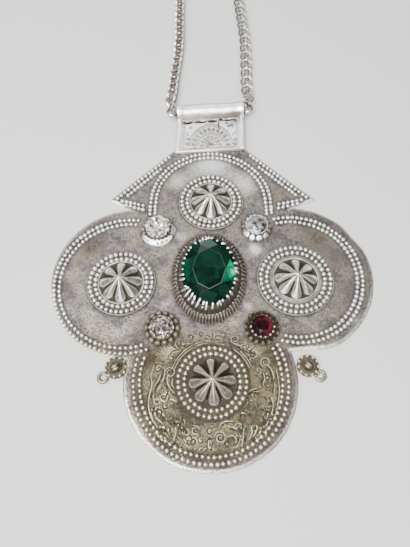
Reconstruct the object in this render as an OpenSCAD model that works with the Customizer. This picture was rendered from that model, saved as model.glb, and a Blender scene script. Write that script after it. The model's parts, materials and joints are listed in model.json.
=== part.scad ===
// Hamsa pendant of sheet silver with beaded borders, domed bosses and set stones,
// lying face up on a cable chain. The origin is on the back of the plate under the
// centre of the green stone, Z points out of the face and Y towards the bail.

/* [Plate] */
// Thickness of the sheet
plate_t = 1.2; // [1:0.1:1.4]
// Radius of the left lobe
left_r = 21.8; // [21.4:0.1:22.2]
// Radius of the right lobe
right_r = 21.6; // [21.2:0.1:22]
// Radius of the bottom lobe
bottom_r = 21.8; // [21.4:0.1:22.2]

/* [Beading] */
// Diameter of a border bead
bead_d = 1.15; // [0.9:0.05:1.2]
// Height of a border bead above the sheet
bead_h = 0.6; // [0.4:0.05:0.8]
// Distance between border beads
bead_pitch = 1.36; // [1.3:0.02:1.5]

/* [Bosses] */
// Diameter of the top, left and bottom boss discs
boss_d = 18.7; // [18:0.1:19]
// Diameter of the right boss disc
boss_right_d = 20.8; // [20:0.1:21]
// Diameter of the fluted domes
dome_d = 11.6; // [10:0.1:11.8]
// Height of the fluted domes
dome_h = 3.4; // [2.5:0.1:4]

/* [Stones] */
// Width of the green stone
green_w = 15; // [14.6:0.1:15]
// Length of the green stone
green_l = 20; // [19.6:0.1:20]
// Height of the green stone's girdle above the back
green_z = 5.1; // [4.6:0.1:5.2]
// Diameter of the small stones
small_d = 5.6; // [5:0.1:5.8]

/* [Bail] */
// Outer diameter of the rolled tube
tube_d = 5.2; // [5.2:0.1:5.4]
// Bore of the rolled tube
bore_d = 4.5; // [4.5:0.05:4.6]
// Length of the rolled tube
tube_l = 21; // [20.6:0.1:21]

/* [Chain] */
// Outer diameter of a link
link_d = 4.2; // [4.2:0.05:4.3]
// Thickness of the link wire
link_w = 0.75; // [0.7:0.01:0.75]
// Links on each side of the loop beyond the two straight strands
loop_links = 72; // [71:1:73]

/* [Hidden] */
$fn = 36;
gap = 0.05;
seat = plate_t + gap;
top_c = [0.6, 24];
left_c = [-23.8, -1.8];
right_c = [23.5, -0.8];
bottom_c = [0.7, -28.4];
ul_c = [-14.5, 14.4];
ur_c = [13.6, 15.5];
ll_c = [-12.3, -14.6];
lr_c = [13.7, -14.4];
left_o = [-21.2, -0.4];
right_o = [23.3, 0.5];
bottom_o = [0.3, -27.9];
bail_turn = 4;
bail_c = [0.6, 57.1, 2.75];
link_r = (link_d - link_w) / 2;

// Functions
function total(v, i = 0) = i < len(v) ? v[i] + total(v, i + 1) : 0;
function apart(a, b) = abs((a - b + 540) % 360 - 180);
function dent(a, d) = d[2] * exp(-pow(apart(a, d[0]) / d[1], 2));
// Outline of a hand cut lobe: each dent is an angle, a width in degrees and a depth
function lobe(c, r, dents) = [for (i = [0:79]) let (a = 4.5 * i)
    c + (r - total([for (d = dents) dent(a, d)])) * [cos(a), sin(a)]];
// Points at an even pitch along an arc, and along a line
function along_arc(c, r, a0, a1, pitch = bead_pitch) =
    let (n = round(abs(a1 - a0) * PI * r / 180 / pitch))
    [for (i = [0:n]) let (a = a0 + (a1 - a0) * i / n) c + r * [cos(a), sin(a)]];
function along_line(p, q, pitch = bead_pitch) =
    let (n = max(1, round(norm(q - p) / pitch))) [for (i = [0:n]) p + (q - p) * i / n];
function oval(a, b, n, z, turn = 0) =
    [for (i = [0:n - 1]) let (t = 360 * i / n + turn) [a * cos(t), b * sin(t), z]];

// Small shapes
// Closed solid through stacked rings of equally many points
module skin(rings, open = false) {
    n = len(rings[0]);
    m = len(rings);
    levels = open ? m : m - 1;
    side = [for (k = [0:levels - 1]) for (i = [0:n - 1])
        let (j = (i + 1) % n, u = (k + 1) % m)
        each [[k * n + i, u * n + i, u * n + j], [k * n + i, u * n + j, k * n + j]]];
    caps = open ? [] : [[for (i = [0:n - 1]) i], [for (i = [n - 1:-1:0]) (m - 1) * n + i]];
    polyhedron(points = [for (r = rings) each r], faces = concat(side, caps));
}

module bead(d, h) {
    cylinder(d1 = d, d2 = d * 0.82, h = h * 0.5);
    translate([0, 0, h * 0.5]) cylinder(d1 = d * 0.82, d2 = d * 0.3, h = h * 0.5);
}

module beads(points, d, h) {
    for (p = points) translate([p[0], p[1], 0]) bead(d, h);
}

// Eight-ribbed dome that stands on Z = 0
module fluted_dome(d, h, ribs = 8) {
    n = ribs * 6;
    rings = [for (t = [0, 0.2, 0.4, 0.6, 0.8, 0.94])
        [for (i = [0:n - 1])
            let (a = 360 * i / n + 22.5,
                 valley = 1 - abs(cos(ribs / 2 * a)),
                 r = d / 2 * cos(90 * pow(t, 1.15)) * (1 - 0.2 * valley))
            [r * cos(a), r * sin(a), h * sin(90 * t) - 0.25 * valley * t]]];
    skin(concat([[for (p = rings[0]) [p[0], p[1], -0.3]]], rings));
}

// Faceted stone: table, kite row, girdle and pavilion
module cut_stone(a, b, crown, pavilion, n = 16) {
    hull() {
        skin([oval(a, b, n, -0.15), oval(a, b, n, 0.15)]);
        skin([oval(a * 0.8, b * 0.8, n / 2, crown * 0.6, 180 / n * 2),
              oval(a * 0.56, b * 0.56, n / 2, crown)]);
        skin([oval(a * 0.12, b * 0.12, n / 2, -pavilion),
              oval(a * 0.62, b * 0.62, n / 2, -pavilion * 0.5)]);
    }
}

module boss(d, outer_r, outer_n, inner_r, inner_n, turn) {
    h = 0.55;
    cylinder(d = d, h = h, $fn = 72);
    translate([0, 0, h]) {
        beads([for (i = [0:outer_n - 1]) outer_r * [cos(360 * i / outer_n), sin(360 * i / outer_n)]],
              1.2, 0.65);
        beads([for (i = [0:inner_n - 1]) inner_r * [cos(360 * i / inner_n), sin(360 * i / inner_n)]],
              1.15, 0.6);
        cylinder(d = dome_d + 0.9, h = 0.3, $fn = 48);
        translate([0, 0, 0.25]) rotate(turn) fluted_dome(dome_d, dome_h);
    }
}

// Round cup with a serrated foot and claws over the stone's edge
module cup(d, h, bore, teeth, claws, claw_d) {
    difference() {
        union() {
            cylinder(d = d - 0.7, h = 0.6, $fn = 48);
            for (i = [0:teeth - 1])
                rotate(360 * i / teeth) translate([d / 2 - 0.6, 0, 0])
                    cylinder(d1 = 1.2, d2 = 0.7, h = 0.9, $fn = 16);
            cylinder(d1 = d - 1.6, d2 = bore + 1.2, h = h, $fn = 48);
        }
        translate([0, 0, 0.5]) cylinder(d = bore, h = h, $fn = 48);
    }
    for (i = [0:claws - 1])
        rotate(360 * (i + 0.5) / claws) translate([bore / 2 + 0.22, 0, h - 0.05])
            bead(claw_d, 0.7);
}

// Pieces
module plate() {
    color("silver") {
        linear_extrude(plate_t) {
            polygon(lobe(left_o, left_r, [[205, 20, 0.2], [258, 14, 0.4]]));
            polygon(lobe(right_o, right_r, [[34, 9, 0.6], [274, 12, 0.9], [300, 6, -0.2]]));
            polygon(lobe(bottom_o, bottom_r, [[228, 9, 0.3], [270, 20, 0.4], [300, 9, 0.2]]));
            polygon([[-29.1, 24.7], [-21, 20.8], [-12, -10], [14, -10], [23.1, 21.8], [31.3, 25.1],
                     [11.7, 43.5], [9, 47], [-8, 46], [-10.5, 43.1]]);
        }
        translate([0, 0, plate_t - 0.02]) beads(plate_beads(), bead_d, bead_h);
    }
}

// Rows stop short of the cups, and a later row stops short of an earlier one
cups = [[ul_c, 5], [ur_c, 4.6], [ll_c, 4.9], [lr_c, 4.8]];
function off_cups(v) =
    [for (p = v) if (min([for (c = cups) norm(p - c[0]) - c[1]]) > bead_d / 2 + 0.1) p];
function thinned(v, others) =
    [for (p = v) if (min([for (q = others) norm(p - q)]) > bead_pitch * 0.93) p];
side_rows = concat(
    along_arc([-22.4, -1.7], 19.6, 76, 289),
    along_arc([-22.4, -1.7], 18.1, 77, 286),
    along_arc([23.3, 0.2], 18.6, -104, 104),
    along_arc([23.3, 0.2], 17.1, -102, 103));
bottom_rows = concat(
    along_arc([0.4, -28], 19.3, 152, 388),
    along_arc([0.4, -28], 17.75, 153, 387));
arch_rows = concat(
    along_arc([0.6, 23.95], 17.6, 0, 180),
    along_arc([0.6, 23.95], 16.1, 0, 180),
    along_line([-17.1, 22.5], [-17.1, 20]),
    along_line([-15.6, 22.5], [-15.6, 19]),
    along_line([18.3, 22.5], [18.3, 20.4]),
    along_line([16.8, 22.5], [16.8, 20]));
gable_rows = concat(
    along_line([-26.9, 25.4], [-12.2, 40.2]),
    along_line([-23.9, 26.3], [-14.6, 35.8]),
    along_line([28.8, 25.8], [12.9, 40.9]),
    along_line([25.8, 26.6], [15.4, 36.5]),
    along_line([-25.4, 24.4], [-19.3, 22.9]),
    along_line([-24.2, 23], [-19.2, 21.4]),
    along_line([27.3, 24.8], [20.6, 23.4]),
    along_line([26, 23.4], [20.4, 22]));
function plate_beads() = off_cups(concat(side_rows, thinned(bottom_rows, side_rows),
    thinned(arch_rows, side_rows), thinned(gable_rows, concat(arch_rows, side_rows))));

module bail() {
    end = tube_l / 2;
    color("gainsboro") difference() {
        union() {
            translate([0, 0, seat]) {
                linear_extrude(0.8) polygon([[-10.2, 41.5], [11.3, 43], [11.2, 57], [-9.9, 56]]);
                linear_extrude(1.1) {
                    polygon([[-10.2, 41.5], [-8.8, 41.6], [-8.4, 56], [-9.9, 56]]);
                    polygon([[9.9, 42.9], [11.3, 43], [11.2, 57], [9.7, 57]]);
                }
                linear_extrude(0.95) polygon([[-10.2, 41.5], [11.3, 43], [11.3, 43.5], [-10.2, 42]]);
            }
            translate(bail_c) rotate([0, 90, bail_turn]) {
                cylinder(d = tube_d, h = tube_l, center = true, $fn = 48);
                for (s = [-1, 1]) translate([0, 0, s * (end - 0.65)])
                    cylinder(d = tube_d + 0.3, h = 1.3, center = true, $fn = 48);
            }
            translate(bail_c) rotate([0, 0, bail_turn])
                translate([-end + 1, -2.6, -0.9]) cube([tube_l - 2, 1, 0.7]);
        }
        translate(bail_c) rotate([0, 90, bail_turn])
            cylinder(d = bore_d, h = tube_l + 4, center = true, $fn = 48);
    }
}

module boss_top() {
    color("lightgray") translate([top_c[0], top_c[1], seat]) boss(boss_d, 8.5, 38, 6.95, 31, 0);
}

module boss_left() {
    color("lightgray") translate([left_c[0], left_c[1], seat]) boss(boss_d, 8.5, 38, 6.95, 31, 3);
}

module boss_right() {
    color("lightgray") translate([right_c[0], right_c[1], seat])
        boss(boss_right_d, 9.5, 42, 7.9, 35, -3);
}

module boss_bottom() {
    color("lightgray") translate([bottom_c[0], bottom_c[1], seat])
        boss(boss_d, 8.5, 38, 6.95, 31, 5);
}

// Fluted oval wall that narrows upwards, with a claw over each second flute
module centre_setting() {
    n = 112;
    a = green_w / 2;
    b = green_l / 2;
    h = green_z + 0.2;
    foot = [for (i = [0:n - 1]) let (t = 360 * i / n, r = 2.55 + 0.3 * (i % 2))
        [(a + r) * cos(t), (b + r + 0.6) * sin(t), seat]];
    low = [for (p = foot) [p[0], p[1], seat + 0.5]];
    mid = [for (i = [0:n - 1]) let (t = 360 * i / n, r = 1.35 + 0.25 * (i % 2))
        [(a + r) * cos(t), (b + r + 0.3) * sin(t), seat + 2.2]];
    rim = [for (i = [0:n - 1]) let (t = 360 * i / n, r = 0.75 + 0.12 * (i % 2))
        [(a + r) * cos(t), (b + r) * sin(t), h]];
    color("darkgray") {
        skin([foot, low, mid, rim, oval(a + 0.06, b + 0.06, n, h),
              oval(a + 0.06, b + 0.06, n, green_z - 0.6),
              oval(a + 0.06, b + 0.06, n, seat)], open = true);
        for (i = [0:35]) let (t = 10 * i + 5)
            translate([(a + 0.42) * cos(t), (b + 0.42) * sin(t), h - 0.05]) bead(0.95, 0.75);
    }
}

module green_stone() {
    color("green") translate([0, 0, green_z - 0.1])
        cut_stone(green_w / 2, green_l / 2, 2.1, 3);
}

module setting_upper_left() {
    color("silver") translate([ul_c[0], ul_c[1], seat]) cup(10, 2.1, small_d + 0.1, 20, 14, 0.75);
}

module setting_upper_right() {
    color("silver") translate([ur_c[0], ur_c[1], seat]) cup(9.1, 2.1, small_d + 0.1, 16, 12, 0.75);
}

module setting_lower_left() {
    color("silver") translate([ll_c[0], ll_c[1], seat]) cup(9.8, 2.1, small_d + 0.1, 14, 13, 0.75);
}

module setting_lower_right() {
    color("silver") translate([lr_c[0], lr_c[1], seat]) cup(9.6, 2.1, small_d + 0.1, 16, 12, 0.75);
}

module small_stone(c, h) {
    translate([c[0], c[1], seat + h - 0.35]) cut_stone(small_d / 2, small_d / 2, 0.9, 1.2);
}

module stone_upper_left() {
    color("lightgray") small_stone(ul_c, 2.1);
}

module stone_upper_right() {
    color("white") small_stone(ur_c, 2.1);
}

module stone_lower_left() {
    color("whitesmoke") small_stone(ll_c, 2.1);
}

module garnet() {
    color("darkred") small_stone(lr_c, 2.1);
}

// Ribbed bead on a tongue that overlaps the plate's shoulder, ringed with grains
// and ended by a curled wire
module drop(c, curl, grains, ridge) {
    difference() {
        union() {
            translate([c[0], c[1], 0]) cylinder(d = 5.6, h = seat + 0.1, $fn = 36);
            hull() {
                translate([c[0], c[1], 0]) cylinder(d = 3, h = 0.9, $fn = 24);
                translate([curl[0], curl[1], 0]) cylinder(d = 1, h = 0.9, $fn = 24);
            }
        }
        translate([left_o[0], left_o[1], -1]) cylinder(r = left_r + 0.08, h = 9, $fn = 96);
        translate([right_o[0], right_o[1], -1]) cylinder(r = right_r + 0.28, h = 9, $fn = 96);
        translate([bottom_o[0], bottom_o[1], -1]) cylinder(r = bottom_r + 0.08, h = 9, $fn = 96);
        translate([curl[0], curl[1], -1]) cylinder(d = 1.2, h = 9, $fn = 24);
    }
    translate([c[0], c[1], seat]) {
        cylinder(d = 5.6, h = 0.35, $fn = 36);
        translate([0, 0, 0.3]) rotate(ridge)
            skin([for (t = [0, 25, 50, 75]) [for (i = [0:19])
                let (a = 18 * i) [1.75 * cos(t) * cos(a), 1.35 * cos(t) * sin(a), 1.7 * sin(t)]]]);
        for (a = grains) translate([2.45 * cos(a), 2.25 * sin(a), 0.3]) bead(1.05, 0.75);
    }
    translate([curl[0], curl[1], 0.4]) rotate_extrude($fn = 36)
        translate([1.1, 0]) circle(d = 0.8, $fn = 8);
    translate([curl[0], curl[1], 0]) rotate(ridge) translate([0.35, 0, 0])
        cylinder(d = 0.9, h = 0.7, $fn = 16);
}

module drop_left() {
    color("silver") drop([-23.5, -24.8], [-26.6, -27.1], [for (a = [8:32:340]) a], 28);
}

module drop_right() {
    color("silver") drop([24.8, -24.3], [27.8, -26.6], [for (a = [-8:32:330]) a], -32);
}

// Chain
// The route runs from the clasp down the left strand, through the bail and up the right strand
strand_y = 114;
loop_r = 58;
flare_r = 20;
half_w = 10.8;
loop_cy = strand_y + sqrt(pow(loop_r + flare_r, 2) - pow(half_w + flare_r, 2));
flare_a = acos((half_w + flare_r) / (loop_r + flare_r));
turn_r = 2;
lift = 1.67;
left_x = -12.1;
right_x = 12.9;
clasp_r = 3.1;
clasp_step = 3.5;

function on_circle(c, r, a, z) = [c[0] + r * cos(a), c[1] + r * sin(a), z];
function left_turn_c() = [left_x + turn_r,
    bail_c[1] + (turn_r + (left_x + turn_r - bail_c[0]) * sin(bail_turn)) / cos(bail_turn)];
function right_turn_c() = [right_x - turn_r,
    bail_c[1] + (turn_r + (right_x - turn_r - bail_c[0]) * sin(bail_turn)) / cos(bail_turn)];

route = concat(
    [for (a = [90:3:240]) on_circle([0.4, loop_cy], loop_r, a, lift)],
    [for (a = [flare_a:-flare_a / 8:1]) on_circle([-half_w + 0.4 - flare_r, strand_y], flare_r, a, lift)],
    [[-10.4, 113, 1.67], [-10.3, 102, 1.67], [-10.1, 91, 1.67], [-10.4, 83, 1.67],
     [-11.2, 75, 1.67], [-11.7, 68, 1.67], [left_x, 63, 2.1]],
    [for (a = [180:11.75:274]) on_circle(left_turn_c(), turn_r, a, bail_c[2])],
    [for (a = [274:10.75:360]) on_circle(right_turn_c(), turn_r, a, bail_c[2])],
    [[12.9, 64, 2.4], [12.7, 70, 2.15], [13, 82, 2.15], [13, 90, 2.15], [12.5, 97, 2.15],
     [11.3, 112, 2.15]],
    [for (i = [1:8]) on_circle([half_w + 0.4 + flare_r, strand_y], flare_r,
        180 - flare_a * i / 8, lift + 0.55 * (1 - i / 8))],
    [for (a = [-60:3:90]) on_circle([0.4, loop_cy], loop_r, a, lift)]);
steps = [for (i = [0:len(route) - 2]) norm(route[i + 1] - route[i])];
marks = [for (i = 0, s = 0; i < len(route); s = s + (i < len(steps) ? steps[i] : 0), i = i + 1) s];
route_l = marks[len(marks) - 1];
xs = [for (i = [0:len(route) - 1]) [marks[i], route[i][0]]];
ys = [for (i = [0:len(route) - 1]) [marks[i], route[i][1]]];
zs = [for (i = [0:len(route) - 1]) [marks[i], route[i][2]]];
function spot(s) = [lookup(s, xs), lookup(s, ys), lookup(s, zs)];
function unit(v) = v / norm(v);
function heading(s) = unit(spot(s + 0.7) - spot(s - 0.7));

// Distances along the route of the two turns' middles
left_i = len([for (a = [90:3:240]) a]) + len([for (a = [flare_a:-flare_a / 8:1]) a]) + 7;
s_left = marks[left_i + 4];
s_right = marks[left_i + 9 + 4];
tube_n = 10;
tube_pitch = (s_right - s_left) / tube_n;
// Steps and leans of the links outwards from each turn: slack in the visible strands
left_steps = concat([2.35, 2.3, 2.1, 1.8], [for (i = [1:30]) 1.5], [1.8, 2.1, 2.3]);
left_leans = concat([0, -8, -14], [for (i = [1:32]) -20], [-14, -6]);
right_steps = concat([2.35, 2.2, 2.1], [for (i = [1:25]) 1.95], [2.1, 2.25]);
right_leans = concat([0, 0.3, 0.7], [for (i = [1:25]) 1], [0.6, 0.25]);
function sums(v) = [for (i = 0, s = v[0]; i < len(v); i = i + 1, s = s + (i < len(v) ? v[i] : 0)) s];
left_s = sums(left_steps);
right_s = sums(right_steps);
left_n = len(left_steps);
right_n = len(right_steps);
s_a = s_left - left_s[left_n - 1];
s_b = s_right + right_s[right_n - 1];
pitch_a = (s_a - clasp_step) / loop_links;
pitch_b = (route_l - clasp_step - s_b) / loop_links;
// Every second link is turned a further quarter about the chain
function quarter(i) = i % 2 == 0 ? 0 : 90;
// Each link: distance along the route, roll about it and lean along it
stations = concat(
    [for (k = [loop_links:-1:1]) [s_a - k * pitch_a, quarter(left_n + k) - 45, 0]],
    [for (k = [left_n:-1:1])
        [s_left - left_s[k - 1], quarter(k) - 20 - 25 * min(1, k / 4), left_leans[k - 1]]],
    [for (k = [0:tube_n]) [s_left + k * tube_pitch, quarter(k) - 20, 0]],
    [for (k = [1:right_n]) let (f = right_leans[k - 1])
        [s_right + right_s[k - 1], quarter(k) - 20 + 20 * f, (k % 2 == 0 ? 16 : -21) * f]],
    [for (k = [1:loop_links])
        [s_b + k * pitch_b, quarter(right_n + k) - 45 * min(1, k / 5), 0]]);

// Place of a link: in-plane direction along the chain, in-plane direction across, normal
function link_axes(s, roll, lean) =
    let (t = heading(s), side = unit(cross([0, 0, 1], t)), up = cross(t, side),
         e = cos(roll) * side + sin(roll) * up,
         q = cos(roll) * up - sin(roll) * side,
         f = cos(lean) * t + sin(lean) * q)
    [f, e, cross(f, e)];

module link() {
    rotate_extrude($fn = 36) translate([link_r, 0]) circle(d = link_w, $fn = 6);
}

module chain() {
    color("darkgray") for (v = stations) {
        c = spot(v[0]);
        m = link_axes(v[0], v[1], v[2]);
        multmatrix([[m[0][0], m[1][0], m[2][0], c[0]],
                    [m[0][1], m[1][1], m[2][1], c[1]],
                    [m[0][2], m[1][2], m[2][2], c[2]]]) link();
    }
}

module clasp() {
    c = route[0];
    color("silver") translate([c[0], c[1] + 0.1, c[2]]) {
        rotate_extrude($fn = 48) translate([clasp_r, 0]) circle(d = 1, $fn = 8);
        translate([0, clasp_r + 0.5, 0]) cylinder(d = 1.6, h = 0.9, center = true, $fn = 24);
    }
}

plate();
bail();
boss_top();
boss_left();
boss_right();
boss_bottom();
centre_setting();
green_stone();
setting_upper_left();
setting_upper_right();
setting_lower_left();
setting_lower_right();
stone_upper_left();
stone_upper_right();
stone_lower_left();
garnet();
drop_left();
drop_right();
chain();
clasp();
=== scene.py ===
"""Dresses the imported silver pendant: sheet, beading, bosses, set stones, bail and chain.

Sizes are in millimetres, and become metres where a mesh is made.
"""

import json
import logging
import math
import random
from collections.abc import Callable, Iterator, Sequence
from contextlib import contextmanager
from dataclasses import dataclass, field
from enum import Enum

import bmesh
import bpy
from mathutils import Matrix, Vector
from mathutils.kdtree import KDTree

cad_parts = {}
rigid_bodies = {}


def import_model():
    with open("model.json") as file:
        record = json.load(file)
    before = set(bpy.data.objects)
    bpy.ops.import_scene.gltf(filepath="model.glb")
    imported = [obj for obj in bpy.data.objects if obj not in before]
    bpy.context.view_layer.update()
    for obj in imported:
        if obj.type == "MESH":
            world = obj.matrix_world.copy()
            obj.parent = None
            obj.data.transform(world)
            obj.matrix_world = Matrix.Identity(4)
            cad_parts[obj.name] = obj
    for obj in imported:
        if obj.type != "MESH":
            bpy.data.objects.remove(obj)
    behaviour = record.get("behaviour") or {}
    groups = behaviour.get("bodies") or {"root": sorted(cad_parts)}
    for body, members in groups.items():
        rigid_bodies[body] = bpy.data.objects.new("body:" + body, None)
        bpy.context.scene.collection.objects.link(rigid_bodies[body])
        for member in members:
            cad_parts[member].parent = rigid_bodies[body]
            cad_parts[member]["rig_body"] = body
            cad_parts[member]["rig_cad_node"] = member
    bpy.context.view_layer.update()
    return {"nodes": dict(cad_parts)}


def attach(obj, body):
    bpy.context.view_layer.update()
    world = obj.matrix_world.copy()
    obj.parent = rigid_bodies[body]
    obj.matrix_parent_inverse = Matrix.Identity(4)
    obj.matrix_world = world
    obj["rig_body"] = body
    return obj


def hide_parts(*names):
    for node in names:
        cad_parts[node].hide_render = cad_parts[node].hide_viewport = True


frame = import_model()
MM = 0.001
METAL_SHINE = 0.15
BEVEL_FACES, SHARP_EDGE = 2, math.radians(35.0)
# Heights of the sheet's face and of what stands on it.
FACE, SEAT = 1.2, 1.25
Point = tuple[float, float]
Colour = tuple[float, float, float]
# A direction in degrees and two measures that belong to it.
Mark = tuple[float, float, float]
Piece = bpy.types.Object
Finish = bpy.types.Material
# Centres of the bosses and of the cups.
TOP, LEFT, RIGHT, BOTTOM = (0.6, 24), (-23.8, -1.8), (23.5, -0.8), (0.7, -28.4)
UPPER_LEFT, UPPER_RIGHT = (-14.5, 14.4), (13.6, 15.5)
LOWER_LEFT, LOWER_RIGHT = (-12.3, -14.6), (13.7, -14.4)
log = logging.getLogger("pendant")


class Part(Enum):
    """Elements that edit mode works on."""

    VERTS = "VERT"
    EDGES = "EDGE"
    FACES = "FACE"


class Hand(Enum):
    """Way a scroll winds from its outer end."""

    LEFT = 1.0
    RIGHT = -1.0


class Bench:
    """Hand tools that every sub-assembly is made with."""

    @staticmethod
    def clear() -> None:
        """Leaves edit mode and deselects everything."""
        if bpy.context.object and bpy.context.object.mode != "OBJECT":
            bpy.ops.object.mode_set(mode="OBJECT")
        bpy.ops.object.select_all(action="DESELECT")

    @staticmethod
    def take(*pieces: Piece) -> Piece:
        """Selects the pieces and makes the first one active.

        Args:
            pieces: what is to be worked on.

        Returns:
            The first piece.
        """
        Bench.clear()
        for piece in pieces:
            piece.select_set(True)
        bpy.context.view_layer.objects.active = pieces[0]
        return pieces[0]

    @staticmethod
    @contextmanager
    def editing(piece: Piece, part: Part = Part.VERTS) -> Iterator[Piece]:
        """Opens a piece in edit mode with all of it selected.

        Args:
            piece: the piece to open.
            part: whether vertices, edges or faces are selected.

        Yields:
            The open piece.
        """
        Bench.take(piece)
        bpy.ops.object.mode_set(mode="EDIT")
        bpy.ops.mesh.select_mode(type=part.value)
        bpy.ops.mesh.select_all(action="SELECT")
        yield piece
        bpy.ops.object.mode_set(mode="OBJECT")

    @staticmethod
    def pick(piece: Piece, part: Part, test: Callable[..., bool]) -> None:
        """Selects, in edit mode, the elements that pass a test.

        Args:
            piece: the piece that is open in edit mode.
            part: which elements are tested.
            test: says whether an element is taken.
        """
        mesh = bmesh.from_edit_mesh(piece.data)
        groups = {Part.VERTS: mesh.verts, Part.EDGES: mesh.edges, Part.FACES: mesh.faces}
        for group in groups.values():
            for element in group:
                element.select = False
        for element in [e for e in groups[part] if test(e)]:
            element.select_set(True)
        bmesh.update_edit_mesh(piece.data)

    @staticmethod
    def shift(piece: Piece, move: Callable[[Vector], Vector]) -> None:
        """Moves the selected vertices of a piece that is open in edit mode.

        Args:
            piece: the piece that is open.
            move: gives a vertex its new place, both in millimetres.
        """
        mesh = bmesh.from_edit_mesh(piece.data)
        for vert in mesh.verts:
            if vert.select:
                vert.co = move(vert.co / MM) * MM
        bmesh.update_edit_mesh(piece.data)

    @staticmethod
    def shape(piece: Piece, move: Callable[[Vector], Vector]) -> Piece:
        """Moves every vertex of a piece by a rule in millimetres.

        Args:
            piece: the piece to shape.
            move: gives a vertex its new place.

        Returns:
            The same piece.
        """
        for vert in piece.data.vertices:
            vert.co = move(vert.co / MM) * MM
        piece.data.update()
        return piece

    @staticmethod
    def close(piece: Piece, reach: float = 0.002) -> Piece:
        """Merges doubles and turns the faces outwards.

        Args:
            piece: a closed piece.
            reach: how far apart doubles may be, in millimetres.

        Returns:
            The same piece.
        """
        with Bench.editing(piece):
            bpy.ops.mesh.remove_doubles(threshold=reach * MM)
            bpy.ops.mesh.normals_make_consistent(inside=False)
        return piece

    @staticmethod
    def smooth(piece: Piece, angle: float) -> Piece:
        """Shades a piece smooth, apart from edges sharper than an angle.

        Args:
            piece: the piece to shade.
            angle: the sharpest edge that stays smooth, in degrees.

        Returns:
            The same piece.
        """
        Bench.take(piece)
        bpy.ops.object.shade_smooth_by_angle(angle=math.radians(angle))
        return piece

    @staticmethod
    def soften(piece: Piece, width: float) -> Piece:
        """Rounds the sharp edges with a bevel modifier that is applied.

        Args:
            piece: the piece to round.
            width: the bevel's width in millimetres.

        Returns:
            The same piece.
        """
        Bench.take(piece)
        bevel = piece.modifiers.new("soft_edges", "BEVEL")
        bevel.width = width * MM
        bevel.segments = BEVEL_FACES
        bevel.angle_limit = SHARP_EDGE
        bpy.ops.object.modifier_apply(modifier=bevel.name)
        return piece

    @staticmethod
    def copy(piece: Piece) -> Piece:
        """Copies a piece with a mesh of its own.

        Args:
            piece: the piece to copy, which may be a CAD node.

        Returns:
            The copy, which is shown and belongs to nothing.
        """
        twin = piece.copy()
        twin.data = piece.data.copy()
        bpy.context.scene.collection.objects.link(twin)
        twin.parent = None
        twin.hide_render = twin.hide_viewport = False
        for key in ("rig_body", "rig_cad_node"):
            if key in twin:
                del twin[key]
        return twin

    @staticmethod
    def repeat(piece: Piece, places: Sequence[Matrix], name: str) -> Piece:
        """Copies a model to each place and joins the copies.

        Args:
            piece: the model, which is removed at the end.
            places: one matrix a copy, in millimetres.
            name: the joined piece's name.

        Returns:
            The joined piece.
        """
        twins = []
        for place in places:
            lift = place.copy()
            lift.translation = place.translation * MM
            twins.append(Bench.copy(piece))
            twins[-1].data.transform(lift)
        bpy.data.objects.remove(piece)
        return Bench.join(twins, name)

    @staticmethod
    def join(pieces: Sequence[Piece], name: str) -> Piece:
        """Joins pieces into one.

        Args:
            pieces: what to join.
            name: the joined piece's name.

        Returns:
            The joined piece.
        """
        whole = Bench.take(*pieces)
        if len(pieces) > 1:
            bpy.ops.object.join()
        whole.name = whole.data.name = name
        return whole

    @staticmethod
    def paint(piece: Piece, name: str, rule: Callable[[Vector], float]) -> None:
        """Stores on each vertex what the rule says of its place, for the finish to read."""
        layer = piece.data.attributes.new(name, "FLOAT", "POINT")
        layer.data.foreach_set("value", [rule(v.co / MM) for v in piece.data.vertices])

    @staticmethod
    def turned(name: str, profile: Sequence[Point], steps: int, loop: bool = False) -> Piece:
        """Spins a profile round the Z axis.

        Args:
            name: the piece's name.
            profile: distances from the axis and heights, in millimetres.
            steps: how many faces go round.
            loop: whether the profile's end joins its start.

        Returns:
            The closed piece.
        """
        piece = Bench.wire(name, [Vector((r, 0, z)) for r, z in profile])
        with Bench.editing(piece, Part.EDGES):
            if not loop:
                ends = {0, len(profile) - 1}
                Bench.pick(piece, Part.EDGES, lambda e: {v.index for v in e.verts} == ends)
                bpy.ops.mesh.delete(type="EDGE")
                bpy.ops.mesh.select_all(action="SELECT")
            bpy.ops.mesh.spin(steps=steps, angle=math.tau, center=(0, 0, 0), axis=(0, 0, 1))
        return Bench.close(piece)

    @staticmethod
    def wire(name: str, points: Sequence[Vector]) -> Piece:
        """Makes a loop of edges through points.

        Args:
            name: the piece's name.
            points: the loop's corners in millimetres.

        Returns:
            The loop.
        """
        Bench.clear()
        bpy.ops.mesh.primitive_circle_add(vertices=len(points), radius=MM)
        piece = bpy.context.object
        piece.name = piece.data.name = name
        for vert, point in zip(piece.data.vertices, points):
            vert.co = point * MM
        return piece

    @staticmethod
    def lofted(name: str, rings: Sequence[Sequence[Vector]]) -> Piece:
        """Extrudes one ring through the others and back to itself, as in a tube's wall.

        Args:
            name: the piece's name.
            rings: rings of equally many corners, in millimetres.

        Returns:
            The closed piece.
        """
        piece = Bench.wire(name, rings[0])
        count = len(rings[0])
        with Bench.editing(piece, Part.EDGES):
            for ring in [*rings[1:], rings[0]]:
                bpy.ops.mesh.extrude_edges_move()
                mesh = bmesh.from_edit_mesh(piece.data)
                mesh.verts.ensure_lookup_table()
                for vert, point in zip(mesh.verts[-count:], ring):
                    vert.co = point * MM
                bmesh.update_edit_mesh(piece.data)
        return Bench.close(piece)

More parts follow.
